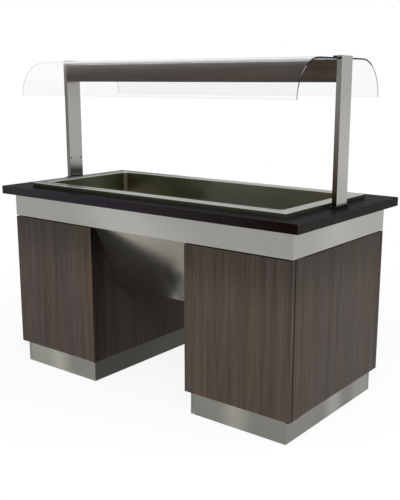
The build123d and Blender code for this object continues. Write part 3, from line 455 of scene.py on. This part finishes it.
def tank_colours_with_painted_reflections(p, settings):
    """Painted olive reflections on the tank walls, lightest past the middle of the long ones, painted shade
    in the corners, over a plain steel floor.
    """
    x, y, z = p.axes()
    waver = p.noise((4.0, 4.0, 9.0), 2.0)
    # painted reflections in olive tones along and across the walls
    along = p.ramp(x * 0.66 + (waver - 0.5) * 0.3 + 0.5, [
        (0.10, (0.55, 0.46, 0.38)),
        (0.18, (0.40, 0.39, 0.29)),
        (0.27, (0.34, 0.32, 0.26)),
        (0.36, (0.38, 0.40, 0.30)),
        (0.46, (0.66, 0.72, 0.64)),
        (0.60, (0.66, 0.67, 0.66)),
        (0.70, (0.55, 0.56, 0.50)),
        (0.97, (0.52, 0.46, 0.36)),
    ])
    across = p.ramp(y * 1.8 + (waver - 0.5) * 0.2 + 0.5, [
        (0.10, (0.20, 0.21, 0.15)),
        (0.36, (0.30, 0.33, 0.28)),
        (0.56, (0.54, 0.62, 0.56)),
        (0.74, (0.42, 0.45, 0.33)),
        (0.94, (0.36, 0.36, 0.26)),
    ])
    end = p.smooth(abs(x), WELL_END - 0.0040, WELL_END - 0.0010)
    # painted shade in the upright corners of the well
    corner = (p.smooth(abs(x), WELL_END - 0.040, WELL_END - 0.015)
              * p.smooth(abs(y), WELL_SIDE - 0.042, WELL_SIDE - 0.017))
    colours = p.mix(1.0, settings.tank, p.mix(end, along, across), "MULTIPLY")
    colours = p.mix(corner * 0.35, colours, shade(settings.tank, 0.2))
    bottom = 1 - p.smooth(z, TANK_FLOOR + 0.004, TANK_FLOOR + 0.030)
    return p.mix(bottom, colours, (0.33, 0.33, 0.305))


def tank_steel(settings):
    """Drawn satin steel of the well, coloured with painted reflections."""
    p = Pattern("satin_tank")
    marks = p.noise(grain_scale(2.2, 0.5 / settings.brush_width, 0), 3.0, 0.6)
    p.bump(marks, 0.00008, 0.2)
    return p.finish(Base_Color=tank_colours_with_painted_reflections(p, settings), Metallic=1.0,
                    Roughness=0.34 + (marks - 0.5) * 0.1, Specular_Tint=(0.4, 0.4, 0.4))


def post_steel(settings):
    """Satin steel of the posts: upright brush marks, painted shade on the narrow faces, the ends and by the
    well, and painted brown reflections at the foot and by the beam.
    """
    p = Pattern("satin_posts")
    marks = p.noise(grain_scale(1.1, 1 / settings.brush_width, 2), 4.0, 0.6)
    clouds = p.noise((2.0, 2.0, 2.6), 2.0)
    x, y, z = p.axes()
    narrow = p.smooth(abs(y), POST_SIDE - 0.0015, POST_SIDE - 0.0002)
    foot = 1 - p.smooth(z, 0.90, 1.42)
    right = x > 0
    left = 1 - right
    well_dark = (1 - p.smooth(z, 0.93, 1.02)) * (1 - narrow)
    ends = p.smooth(z, 1.20, 1.42) + 1 - p.smooth(z, 0.93, 1.12)
    # painted shade on the narrow faces, the ends and by the well
    shade_of_face = (narrow * (0.54 + foot * right * 0.38 + left * 0.10)
                     + (1 - narrow) * (left * 0.14 + right * ends * 0.13) + well_dark * left * 0.3)
    level = (1 + (marks - 0.5) * 0.09 + (clouds - 0.5) * 0.16) * (1 - shade_of_face)
    colours = p.tinted(settings.posts, level)
    # painted brown reflection at the foot of the right post's narrow faces
    colours = p.mix(narrow * foot * right * 0.7, colours, (1.0, 0.66, 0.44), "MULTIPLY")
    painted_beam_reflection = left * (1 - narrow) * p.smooth(z, 1.35, 1.42)
    colours = p.mix(painted_beam_reflection * 0.8, colours, (0.75, 0.55, 0.48), "MULTIPLY")
    p.bump(marks, 0.00006, 0.2)
    return p.finish(Base_Color=colours, Metallic=1.0, Roughness=0.17 + (marks - 0.5) * 0.08)


def granite(settings):
    """Dark stone with fine grains, a few paler flecks and slow cool and warm patches, with painted
    reflections along the front edge, on the end and darker to the left on the top.
    """
    p = Pattern("dark_granite")
    grain = p.cells(520.0)
    clouds = p.noise((60.0, 60.0, 60.0), 4.0, 0.6)
    patches = p.noise((1.9, 1.9, 1.9), 2.0)
    flecks = p.noise((900.0, 900.0, 900.0), 2.0)
    fleck = p.smooth(flecks, 0.66, 0.76)
    colours = p.ramp(grain * 0.6 + clouds * 0.4, [
        (0.15, shade(settings.granite, 1.2)),
        (0.50, shade(settings.granite, 2.2)),
        (0.85, shade(settings.granite, 4.0)),
    ])
    x, y = p.axes("XY")
    front = 1 - p.smooth(y, WORKTOP_FRONT + 0.0015, WORKTOP_FRONT + 0.0035)
    end = p.smooth(x, WORKTOP_END - 0.0030, WORKTOP_END - 0.0010)
    along = x * 0.56 + 0.5 + (patches - 0.5) * 0.22
    front_painted_reflection = p.ramp(along, [
        (0.04, (0.90, 0.95, 0.86)),
        (0.14, (0.88, 0.90, 0.98)),
        (0.40, (0.66, 0.60, 0.80)),
        (0.66, (0.44, 0.38, 0.40)),
        (0.92, (0.20, 0.12, 0.10)),
    ])
    top_patches_and_painted_reflection = p.mix(p.smooth(patches, 0.36, 0.60), (0.38, 0.40, 0.42), (0.43, 0.40, 0.37))
    # painted reflection that darkens the top towards the left
    top_patches_and_painted_reflection = p.mix((1 - p.smooth(x, -0.80, -0.10)) * 0.55, top_patches_and_painted_reflection, (0.0, 0.0, 0.0))
    tint = p.mix(front, top_patches_and_painted_reflection, front_painted_reflection)
    # painted reflection on the end face, lighter than the top
    tint = p.mix(end, tint, (0.72, 0.72, 0.68))
    colours = p.mix(1.0, colours, tint, "MULTIPLY")
    colours = p.mix(fleck * (1 - front * 0.7) * 0.35, colours, (0.09, 0.09, 0.095))
    return p.finish(Base_Color=colours, Roughness=0.17 + grain * 0.05, Specular_IOR_Level=0.0005)


def plain_metal(name, colour, roughness, speckle=0.08):
    """Milled, plated or cast metal with slight mottling."""
    p = Pattern(name)
    mottle = p.noise((45.0, 45.0, 45.0), 4.0, 0.6)
    fine = p.noise((700.0, 700.0, 700.0), 2.0)
    colours = p.mix(p.smooth(mottle, 0.35, 0.65), shade(colour, 1 - speckle), shade(colour, 1 + speckle))
    p.bump(fine, 0.0001, 0.3)
    return p.finish(Base_Color=colours, Metallic=1.0, Roughness=roughness + (mottle - 0.5) * 0.15)


def spangled(name, colour):
    """Galvanised sheet with its flat crystals."""
    p = Pattern(name)
    cell = p.cells(95.0)
    colours = p.mix(cell, shade(colour, 0.82), shade(colour, 1.15))
    return p.finish(Base_Color=colours, Metallic=1.0, Roughness=0.32 + cell * 0.16)


def moulded(name, colour, roughness=0.5, texture=0.00015, scale=1400.0, shine=0.12):
    """Moulded plastic, rubber or painted sheet with a fine even texture."""
    p = Pattern(name)
    fine = p.noise((scale, scale, scale), 2.0)
    wear = p.noise((30.0, 30.0, 30.0), 3.0)
    colours = p.mix(p.smooth(wear, 0.35, 0.7), shade(colour, 0.88), shade(colour, 1.12))
    p.bump(fine, texture, 0.4)
    return p.finish(Base_Color=colours, Roughness=roughness + (wear - 0.5) * 0.12, Specular_IOR_Level=shine)


def clear_sheet():
    """Clear canopy sheet with grey polished edges, and painted shade that darkens the edges at its right end.
    """
    p = Pattern("clear_sheet")
    x, y, z = p.axes()
    end = p.smooth(abs(x), CANOPY_END - 0.0007, CANOPY_END - 0.0001)
    sill = p.smooth(CANOPY_FOOT + 0.0012 - z, 0.0, 0.0009)
    smear = p.noise((7.0, 7.0, 7.0), 3.0)
    # painted shade darkens the end edges on the right; the left ones stay grey
    edge_colour_with_painted_shade = p.mix(x > 0, (0.50, 0.50, 0.50), (0.10, 0.10, 0.10))
    flange = p.smooth(abs(y), CANOPY_SIDE - 0.030, CANOPY_SIDE - 0.004)
    colours = p.mix(flange, (0.958, 0.960, 0.962), (0.940, 0.937, 0.938))
    colours = p.mix(sill, colours, (0.60, 0.60, 0.60))
    colours = p.mix(end, colours, edge_colour_with_painted_shade)
    return p.finish(Base_Color=colours, Roughness=smear * 0.004 + end * 0.2, IOR=1.13,
                    Transmission_Weight=1.0)


def pane(name, colour, roughness=0.02):
    """Clear pane or tube with a faint smear."""
    p = Pattern(name)
    smear = p.noise((18.0, 18.0, 18.0), 3.0)
    colours = p.mix(smear, shade(colour, 0.96), colour)
    return p.finish(Base_Color=colours, Roughness=roughness + smear * 0.03, IOR=1.46, Transmission_Weight=1.0)


def mineral_wool():
    """Pressed wool board with fibres."""
    p = Pattern("mineral_wool")
    fibres = p.noise((900.0, 120.0, 420.0), 5.0, 0.7)
    tufts = p.noise((60.0, 60.0, 60.0), 4.0)
    colours = p.ramp(fibres * 0.6 + tufts * 0.4, [
        (0.3, (0.22, 0.17, 0.08)), (0.5, (0.42, 0.35, 0.18)), (0.7, (0.62, 0.56, 0.36))])
    p.bump(fibres + tufts, 0.0012, 0.7)
    return p.finish(Base_Color=colours, Roughness=0.95)


def lens():
    """Red lens with a glossy coat."""
    p = Pattern("pilot_lens")
    rings = p.noise((500.0, 500.0, 500.0), 1.0)
    colours = p.mix(rings, (0.45, 0.02, 0.01), (0.62, 0.04, 0.02))
    return p.finish(Base_Color=colours, Roughness=0.12, Coat_Weight=0.6)


def lever_finish():
    """Dipped grip of the valve lever over a plated blade."""
    p = Pattern("dipped_lever")
    x, y = p.axes("XY")
    grip = p.smooth(x - y * 0.4, 0.028, 0.030)
    fine = p.noise((400.0, 400.0, 400.0), 3.0)
    colours = p.mix(grip, (0.55, 0.55, 0.54), (0.42, 0.025, 0.02))
    colours = p.mix(fine * 0.35, colours, (0.10, 0.05, 0.05))
    p.bump(fine, 0.0002, 0.3)
    return p.finish(Base_Color=colours, Metallic=1 - grip, Roughness=0.30 + grip * 0.18)


def paint(piece, material):
    """Gives one piece one finish."""
    piece.data.materials.clear()
    piece.data.materials.append(material)


def dress(material, *nodes):
    """Gives CAD pieces their finish."""
    for name in nodes:
        paint(NODES[name], material)


# Modelling

def clear_selection():
    """Leaves nothing selected, in object mode."""
    if bpy.context.mode != "OBJECT":
        bpy.ops.object.mode_set(mode="OBJECT")
    bpy.ops.object.select_all(action="DESELECT")


def choose(piece):
    """Selects one piece by itself and makes it the active one."""
    clear_selection()
    piece.select_set(True)
    bpy.context.view_layer.objects.active = piece


def begin(name, add, **sizes):
    """Adds a primitive at its place and gives it a name, with its place in its mesh."""
    clear_selection()
    add(**sizes)
    piece = bpy.context.object
    piece.name = name
    piece.data.name = name
    bpy.ops.object.transform_apply(location=True, rotation=True, scale=True)
    return piece


def pick(piece, test=None):
    """Selects, in edit mode, the faces whose middle and normal pass a test, or all of them."""
    if bpy.context.mode != "EDIT_MESH":
        bpy.ops.object.mode_set(mode="EDIT")
    bpy.ops.mesh.select_mode(type="FACE")
    bpy.ops.mesh.select_all(action="DESELECT")
    form = bmesh.from_edit_mesh(piece.data)
    for face in form.faces:
        face.select_set(test is None or bool(test(face.calc_center_median(), face.normal)))
    bmesh.update_edit_mesh(piece.data)


def outer_face(middle, normal):
    """Picks the flat face that looks along +Y."""
    return normal.y > 0.9


def push(vector):
    """Extrudes the selected faces along a vector."""
    bpy.ops.mesh.extrude_region_move(TRANSFORM_OT_translate={"value": vector})


def face_outwards():
    """Merges doubles and turns every face outwards."""
    bpy.ops.mesh.select_all(action="SELECT")
    bpy.ops.mesh.remove_doubles(threshold=0.000001)
    bpy.ops.mesh.normals_make_consistent(inside=False)
    bpy.ops.object.mode_set(mode="OBJECT")


def modify(piece, kind, **settings):
    """Adds a modifier to a piece and applies it."""
    choose(piece)
    modifier = piece.modifiers.new("shape", kind)
    for key, value in settings.items():
        setattr(modifier, key, value)
    bpy.ops.object.modifier_apply(modifier=modifier.name)


def move(piece, place, turn=(0.0, 0.0, 0.0)):
    """Turns a piece about the origin and carries it to a place."""
    choose(piece)
    piece.rotation_euler = turn
    piece.location = place
    bpy.ops.object.transform_apply(location=True, rotation=True, scale=True)


def copy(model, name, place, turn=(0.0, 0.0, 0.0)):
    """Copies a model that stands on the origin, with a mesh of its own, to a place."""
    choose(model)
    bpy.ops.object.duplicate()
    piece = bpy.context.object
    piece.name = name
    piece.data.name = name
    move(piece, place, turn)
    return piece


def delete(piece):
    """Removes a helper or a model that has been copied."""
    choose(piece)
    bpy.ops.object.delete()


def join(name, pieces):
    """Joins copies into one piece."""
    choose(pieces[0])
    for piece in pieces:
        piece.select_set(True)
    bpy.ops.object.join()
    pieces[0].name = name
    pieces[0].data.name = name
    return pieces[0]


def settle(piece, material, body, sharp=math.radians(35)):
    """Smooths a finished piece, gives it its finish and lets it ride on its body."""
    choose(piece)
    bpy.ops.object.shade_smooth_by_angle(angle=sharp)
    paint(piece, material)
    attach(piece, body)


def bar(name, size, softness, place=(0.0, 0.0, 0.0)):
    """Low bar with softened edges."""
    piece = begin(name, bpy.ops.mesh.primitive_cube_add, size=1, scale=size, location=place)
    pick(piece)
    bpy.ops.mesh.bevel(offset=softness, segments=2, affect="EDGES")
    face_outwards()
    return piece


def ring(name, radius, width, height, softness, vertices=64):
    """Flat ring round the origin that stands up along +Y, with softened edges."""
    piece = begin(name, bpy.ops.mesh.primitive_circle_add, vertices=vertices, radius=radius, fill_type="NGON",
                  rotation=(-math.pi / 2, 0, 0))
    pick(piece)
    bpy.ops.mesh.inset(thickness=width)
    bpy.ops.mesh.delete(type="FACE")
    pick(piece)
    push((0, height, 0))
    face_outwards()
    pick(piece, outer_face)
    bpy.ops.mesh.region_to_loop()
    bpy.ops.mesh.bevel(offset=softness, segments=2, affect="EDGES")
    face_outwards()
    return piece


def turned(angle):
    """Turn about the Y axis, clockwise for someone who stands behind the counter."""
    return (0.0, -angle, 0.0)


class SALADBAR_OT_steel(bpy.types.Operator):
    """Finish the stainless pieces"""
    bl_idname = "salad_bar.steel"
    bl_label = "Stainless Steel"

    def execute(self, context):
        settings = context.scene.salad_bar_finishes
        width = settings.brush_width
        dress(brushed("satin_band", settings.band, width, 0, tone=band_painted_highlights), "fascia_band")
        dress(rim_steel(settings), "well_rim")
        dress(tank_steel(settings), "well_tank")
        dress(brushed("satin_plinth", settings.plinth, width, 2, cloud=0.2, tone=plinth_painted_light),
              "plinth_front_sheets", "plinth_rear_sheets")
        dress(brushed("bright_housing", settings.housing, width, 0, roughness=0.17, contrast=0.06,
                      tone=housing_painted_reflections, metallic=0.92, lean=0.055), "underbody_housing")
        dress(brushed("mill_steel", (0.32, 0.32, 0.32), width * 2, 1, roughness=0.42), "cross_members",
              "beam_core", "post_brackets", "post_spigots", "drain_pipe", "drain_outlet")
        dress(plain_metal("worn_strainer", (0.30, 0.30, 0.28), 0.24), "drain_strainer")
        dress(post_steel(settings), "gantry_posts")
        dress(spangled("galvanised", (0.50, 0.51, 0.52)), "heater_tray", "tray_straps", "control_housing")
        dress(plain_metal("zinc_plate", (0.56, 0.56, 0.58), 0.28), "gantry_bolts", "shelf_pins")
        dress(plain_metal("blackened_steel", (0.035, 0.034, 0.034), 0.42), "hinge_leaves", "post_screws",
              "left_door_fittings", "right_door_fittings")
        dress(plain_metal("bright_aluminium", (0.78, 0.78, 0.79), 0.16, speckle=0.04), "lamp_reflector")
        dress(plain_metal("nickel_brass", (0.62, 0.57, 0.46), 0.25), "drain_valve_body")
        dress(plain_metal("heater_sheath", (0.20, 0.17, 0.15), 0.45), "heater_elements")
        return {"FINISHED"}


class SALADBAR_OT_stone(bpy.types.Operator):
    """Finish the granite worktop"""
    bl_idname = "salad_bar.stone"
    bl_label = "Granite Worktop"

    def execute(self, context):
        dress(granite(context.scene.salad_bar_finishes), "worktop")
        return {"FINISHED"}


class SALADBAR_OT_boards(bpy.types.Operator):
    """Finish the laminate and melamine boards"""
    bl_idname = "salad_bar.boards"
    bl_label = "Boards"

    def execute(self, context):
        settings = context.scene.salad_bar_finishes
        width = settings.grain_width
        dress(laminate("upright_laminate", settings.laminate, width, 2, board_painted_shade),
              "left_door", "right_door", "left_side_boards", "right_side_boards", "rear_panels")
        dress(laminate("beam_laminate", settings.beam, width, 0, beam_painted_shade), "beam_boards")
        dress(laminate("cupboard_board", shade(settings.laminate, 1.15), width, 0), "inner_boards", "shelves")
        return {"FINISHED"}


class SALADBAR_OT_glass(bpy.types.Operator):
    """Finish the canopy, the lamp glass and the lamps"""
    bl_idname = "salad_bar.glass"
    bl_label = "Canopy and Lamps"

    def execute(self, context):
        dress(clear_sheet(), "canopy_glass")
        dress(pane("lamp_pane", (0.93, 0.95, 0.94)), "lamp_glass")
        dress(pane("quartz", (0.96, 0.94, 0.92), roughness=0.05), "heat_lamps")
        dress(moulded("steatite", (0.72, 0.70, 0.64), 0.6, texture=0.0002, scale=900.0), "lamp_holders",
              "element_terminals")
        dress(mineral_wool(), "tank_insulation")
        return {"FINISHED"}


class SALADBAR_OT_plastics(bpy.types.Operator):
    """Finish the plastic and rubber pieces"""
    bl_idname = "salad_bar.plastics"
    bl_label = "Plastics and Rubber"

    def execute(self, context):
        dress(moulded("black_moulding", (0.018, 0.018, 0.019), 0.45), "canopy_clamps",
              "switch_bodies", "supply_gland", "leg_sockets", "adjusting_feet", "thermostat_knob")
        dress(moulded("glossy_collar", (0.006, 0.006, 0.006), 0.22, texture=0.00003, shine=0.02),
              "post_collars")
        dress(moulded("black_rocker", (0.02, 0.02, 0.021), 0.28, texture=0.00005),
              "heat_rocker", "lamp_rocker")
        dress(moulded("black_strip", (0.03, 0.03, 0.03), 0.7), "band_packers", "rim_seal", "worktop_pads")
        dress(moulded("grey_gasket", (0.42, 0.42, 0.42), 0.6), "canopy_gaskets")
        dress(moulded("grey_moulding", (0.45, 0.45, 0.44), 0.48), "push_latches", "thermostat_body",
              "supply_conduit", "junction_box")
        dress(lens(), "pilot_lamp")
        dress(lever_finish(), "drain_valve_lever")
        return {"FINISHED"}


class SALADBAR_OT_thermostat_dial(bpy.types.Operator):
    """Model the scale ring, its marks and the knob's pointer"""
    bl_idname = "salad_bar.thermostat_dial"
    bl_label = "Thermostat Dial"

    def execute(self, context):
        settings = context.scene.salad_bar_fittings
        centre = (settings.thermostat_x, REAR_FACE, settings.control_height)
        dark = moulded("anodised_scale", (0.03, 0.03, 0.031), 0.36, texture=0.00005, shine=0.3)
        pale = moulded("pale_marks", (0.72, 0.72, 0.70), 0.5, texture=0.00004)
        scale_width, scale_height, soft_edge = 0.0085, 0.0008, 0.00025
        plate = ring("thermostat_scale", settings.scale_radius, scale_width, scale_height, soft_edge, 96)
        move(plate, centre)
        settle(plate, dark, "counter")
        mark_size, mark_middle = (0.0011, 0.0004, 0.0046), settings.scale_radius - 0.0042
        mark = bar("scale_mark", mark_size, 0.00015, (0.0, scale_height, mark_middle))
        step = math.radians(270) / (settings.scale_marks - 1)
        marks = [copy(mark, "mark", centre, turned(step * index)) for index in range(settings.scale_marks)]
        delete(mark)
        settle(join("thermostat_marks", marks), pale, "counter")
        pointer_size, pointer_place = (0.0015, 0.0006, 0.0115), (0.0, 0.018, 0.0082)
        pointer = bar("knob_pointer", pointer_size, 0.00018, pointer_place)
        move(pointer, centre)
        settle(pointer, pale, "thermostat_knob")
        return {"FINISHED"}


class SALADBAR_OT_rocker_marks(bpy.types.Operator):
    """Model the raised bar and ring on the two rockers"""
    bl_idname = "salad_bar.rocker_marks"
    bl_label = "Rocker Marks"

    def execute(self, context):
        settings = context.scene.salad_bar_fittings
        pale = moulded("rocker_marks", (0.74, 0.74, 0.72), 0.45, texture=0.00004)
        pivot_depth = 0.004
        half_height = 0.0112
        lean = math.atan2(0.0014, half_height)
        off_radius, on_length, off_face, on_face = 0.0024, 0.0044, 0.00615, 0.00630
        line, height, soft_edge = 0.0007, 0.0003, 0.0001
        for name, x in ROCKERS.items():
            pivot = (x, REAR_FACE - pivot_depth, settings.control_height)
            off = ring(name + "_off_mark", off_radius, line, height, soft_edge, 32)
            move(off, (0.0, off_face, half_height / 2), (-lean, 0.0, 0.0))
            on = bar(name + "_on_mark", (line, height, on_length), soft_edge)
            move(on, (0.0, on_face, -half_height / 2), (lean, 0.0, 0.0))
            for mark in (off, on):
                move(mark, pivot, (settings.rocker_tip, 0.0, 0.0))
                settle(mark, pale, name)
        return {"FINISHED"}


def cross_screw(name, radius):
    """Pan head screw with a cross recess, on the origin and facing +Y."""
    height, rounding = 0.0022, 0.00121
    arm, half_slot, slot_depth = radius * 0.45, 0.00042, 0.0011
    head = begin(name, bpy.ops.mesh.primitive_cylinder_add, vertices=28, radius=radius, depth=height,
                 location=(0, height / 2, 0), rotation=(-math.pi / 2, 0, 0))
    pick(head, outer_face)
    bpy.ops.mesh.region_to_loop()
    bpy.ops.mesh.bevel(offset=rounding, segments=4, affect="EDGES")
    face_outwards()
    cross = begin("recess", bpy.ops.mesh.primitive_cube_add, size=2, scale=(half_slot, slot_depth, half_slot),
                  location=(0, height, 0))
    for side in (Vector((1, 0, 0)), Vector((-1, 0, 0)), Vector((0, 0, 1)), Vector((0, 0, -1))):
        pick(cross, lambda middle, normal: normal.dot(side) > 0.9 and middle.dot(side) < half_slot * 1.1)
        push(side * arm)
    face_outwards()
    modify(head, "BOOLEAN", operation="DIFFERENCE", solver="EXACT", object=cross)
    delete(cross)
    return head


class SALADBAR_OT_screws(bpy.types.Operator):
    """Model the screw heads of the rear panels and the junction box"""
    bl_idname = "salad_bar.screws"
    bl_label = "Screws"

    def execute(self, context):
        zinc = plain_metal("zinc_screws", (0.52, 0.52, 0.53), 0.3)
        dark = plain_metal("black_screws", (0.05, 0.048, 0.045), 0.4)
        model = cross_screw("screw", context.scene.salad_bar_fittings.screw_radius)
        panel_heights = (0.150, 0.431, 0.712)
        panel_edges = (-0.7785, -0.2805, 0.2805, 0.7785)
        for row, z in enumerate(panel_heights):
            for column, x in enumerate(panel_edges):
                turn = turned(0.7 * row + column)
                screw = copy(model, f"panel_screw_{row}_{column}", (x, REAR_FACE, z), turn)
                settle(screw, dark, "counter")
        box_heights = (0.168, 0.232)
        box_edges = (0.518, 0.602)
        for row, z in enumerate(box_heights):
            for column, x in enumerate(box_edges):
                turn = (0.0, 0.4 * column + row, math.pi)
                screw = copy(model, f"box_screw_{row}_{column}", (x, BOX_FRONT, z), turn)
                settle(screw, zinc, "counter")
        delete(model)
        return {"FINISHED"}


class SALADBAR_OT_filaments(bpy.types.Operator):
    """Model the coiled filaments of the lamps"""
    bl_idname = "salad_bar.filaments"
    bl_label = "Lamp Filaments"

    def execute(self, context):
        settings = context.scene.salad_bar_fittings
        length, wire_radius = 0.276, 0.00034
        turns, steps = round(length / settings.coil_pitch), 12
        coil = begin("coil", bpy.ops.mesh.primitive_circle_add, vertices=6, radius=wire_radius,
                     location=(-length / 2, 0, settings.coil_radius), rotation=(math.pi / 2, 0, 0))
        modify(coil, "SCREW", axis="X", angle=2 * math.pi, screw_offset=length / turns, iterations=turns,
               steps=steps, render_steps=steps, use_merge_vertices=True)
        pick(coil)
        bpy.ops.mesh.fill_holes(sides=8)
        face_outwards()
        tungsten = plain_metal("tungsten", (0.24, 0.23, 0.22), 0.34)
        low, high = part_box("heat_lamps")
        middle = (low.z + high.z) / 2
        for number, x in enumerate(LAMPS):
            filament = copy(coil, f"lamp_filament_{number}", (x, 0, middle))
            settle(filament, tungsten, "counter", math.radians(80))
        delete(coil)
        return {"FINISHED"}


class SALADBAR_OT_small_fittings(bpy.types.Operator):
    """Model the nut on the valve stem, the ribs of the cable gland and the ring round the pilot lamp"""
    bl_idname = "salad_bar.small_fittings"
    bl_label = "Nut, Gland Ribs and Lamp Ring"

    def execute(self, context):
        plated = plain_metal("plated_fittings", (0.60, 0.60, 0.61), 0.22)
        nut = begin("valve_nut", bpy.ops.mesh.primitive_cylinder_add, vertices=6, radius=0.0068, depth=0.0028,
                    location=(0.0, VALVE_NUT_Y, VALVE_HEIGHT), rotation=(-math.pi / 2, 0, 0))
        pick(nut, outer_face)
        for inset, rise in ((0.0009, 0.0005), (0.0014, 0.0010)):
            bpy.ops.mesh.inset(thickness=inset)
            push((0, rise, 0))
        face_outwards()
        modify(nut, "BEVEL", width=0.0003, segments=2, limit_method="ANGLE")
        settle(nut, plated, "drain_valve_lever")
        dark = moulded("gland_moulding", (0.02, 0.02, 0.021), 0.42)
        rib_size, rib_place, count = (0.0016, 0.0075, 0.0010), (0.0, 0.0090, 0.0121), 18
        rib = bar("gland_rib", rib_size, 0.0002, rib_place)
        gland = (GLAND_X, REAR_FACE, GLAND_HEIGHT)
        ribs = [copy(rib, "rib", gland, turned(2 * math.pi * index / count)) for index in range(count)]
        delete(rib)
        settle(join("gland_ribs", ribs), dark, "counter")
        collar = ring("pilot_ring", radius=0.0092, width=0.0026, height=0.0016, softness=0.0005)
        move(collar, (PILOT_LAMP, REAR_FACE, context.scene.salad_bar_fittings.control_height))
        settle(collar, plated, "counter")
        return {"FINISHED"}


class SALADBAR_OT_studio(bpy.types.Operator):
    """Set up the floor, the lights and the camera"""
    bl_idname = "salad_bar.studio"
    bl_label = "Studio"

    def execute(self, context):
        settings = context.scene.salad_bar_studio
        clear_selection()
        bpy.ops.mesh.primitive_circle_add(vertices=96, radius=settings.floor_radius, fill_type="NGON")
        floor = bpy.context.object
        floor.name = "studio_floor"
        paint(floor, floor_finish(settings))
        sky(settings)
        power = settings.key_power
        soft_light("key_light", place=(1.6, -2.6, 3.6), target=(0.0, 0.0, 0.7), size=2.6, power=power)
        soft_light("side_light", place=(3.8, 1.2, 2.8), target=(0.0, 0.0, 0.6), size=2.2, power=power * 0.45)
        camera = bpy.data.cameras.new("photo_camera")
        camera.lens = settings.lens
        camera.sensor_width = 36.0
        camera.clip_end = 100.0
        view = bpy.data.objects.new("photo_camera", camera)
        context.scene.collection.objects.link(view)
        view.location = settings.camera_place
        view.rotation_euler = (math.pi / 2 - settings.camera_tilt, 0.0, settings.camera_heading)
        context.scene.camera = view
        context.scene.view_settings.view_transform = "Standard"
        return {"FINISHED"}


def seen_directly(p):
    """1 for camera, glossy and transmission rays, and 0 for the rays that light the object."""
    path = p.node("ShaderNodeLightPath").socket.node.outputs
    rays = [Value(p, path[name]) for name in ("Is Camera Ray", "Is Glossy Ray", "Is Transmission Ray")]
    return p.smallest(rays[0] + rays[1] + rays[2], 1.0)


def floor_finish(settings):
    """Pale floor that keeps the shadow of the object and turns white away from it."""
    p = Pattern("pale_floor")
    x, y = p.axes("XY")
    distance = (x * x + y * y) ** 0.5
    fade = p.smooth(distance, settings.floor_fade * 0.4, settings.floor_fade)
    mottle = p.noise((2.0, 2.0, 2.0), 2.0)
    lit = p.mix(mottle, shade(settings.floor_colour, 0.99), settings.floor_colour)
    veil = settings.floor_veil + fade * (1 - settings.floor_veil)
    p.finish(Base_Color=lit, Roughness=0.9, Specular_IOR_Level=0.0)
    white = p.node("ShaderNodeEmission", None, {"Color": (1.0, 1.0, 1.0), "Strength": 1.0})
    own = Value(p, p.shader.outputs[0])
    mixed = p.node("ShaderNodeMixShader", None, {0: veil * seen_directly(p), 1: own, 2: white})
    output = p.tree.nodes["Material Output"]
    p.tree.links.new(mixed.socket, output.inputs["Surface"])
    return p.material


def sky(settings):
    """World that is white where it is seen and gives a plain soft light."""
    p = Pattern("studio_world", "worlds", "Background")
    seen = seen_directly(p)
    p.finish(Color=(1.0, 1.0, 1.0), Strength=seen + (1 - seen) * settings.ambient)
    bpy.context.scene.world = p.material


def soft_light(name, place, target, size, power):
    """Square area light turned towards a point."""
    lamp = bpy.data.lights.new(name, "AREA")
    lamp.energy = power
    lamp.size = size
    light = bpy.data.objects.new(name, lamp)
    bpy.context.scene.collection.objects.link(light)
    light.location = place
    light.rotation_euler = (Vector(target) - Vector(place)).to_track_quat("-Z", "Y").to_euler()


class SALADBAR_PT_panel(bpy.types.Panel):
    """Steps that finish the salad bar, in order"""
    bl_label = "Salad Bar"
    bl_idname = "SALADBAR_PT_panel"
    bl_space_type = "VIEW_3D"
    bl_region_type = "UI"
    bl_category = "Salad Bar"

    def draw(self, context):
        for step in STEPS:
            self.layout.operator(step.bl_idname)


STEPS = (SALADBAR_OT_steel, SALADBAR_OT_stone, SALADBAR_OT_boards, SALADBAR_OT_glass, SALADBAR_OT_plastics,
         SALADBAR_OT_thermostat_dial, SALADBAR_OT_rocker_marks, SALADBAR_OT_screws, SALADBAR_OT_filaments,
         SALADBAR_OT_small_fittings, SALADBAR_OT_studio)
CLASSES = (SaladBarFinishes, SaladBarFittings, SaladBarStudio, *STEPS, SALADBAR_PT_panel)


def register():
    for kind in CLASSES:
        bpy.utils.register_class(kind)
    bpy.types.Scene.salad_bar_finishes = PointerProperty(type=SaladBarFinishes)
    bpy.types.Scene.salad_bar_fittings = PointerProperty(type=SaladBarFittings)
    bpy.types.Scene.salad_bar_studio = PointerProperty(type=SaladBarStudio)


def unregister():
    del bpy.types.Scene.salad_bar_studio
    del bpy.types.Scene.salad_bar_fittings
    del bpy.types.Scene.salad_bar_finishes
    for kind in reversed(CLASSES):
        bpy.utils.unregister_class(kind)


def main():
    """Runs every step in order."""
    register()
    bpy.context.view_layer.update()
    for step in STEPS:
        group, name = step.bl_idname.split(".")
        getattr(getattr(bpy.ops, group), name)()


if __name__ == "__main__":
    main()
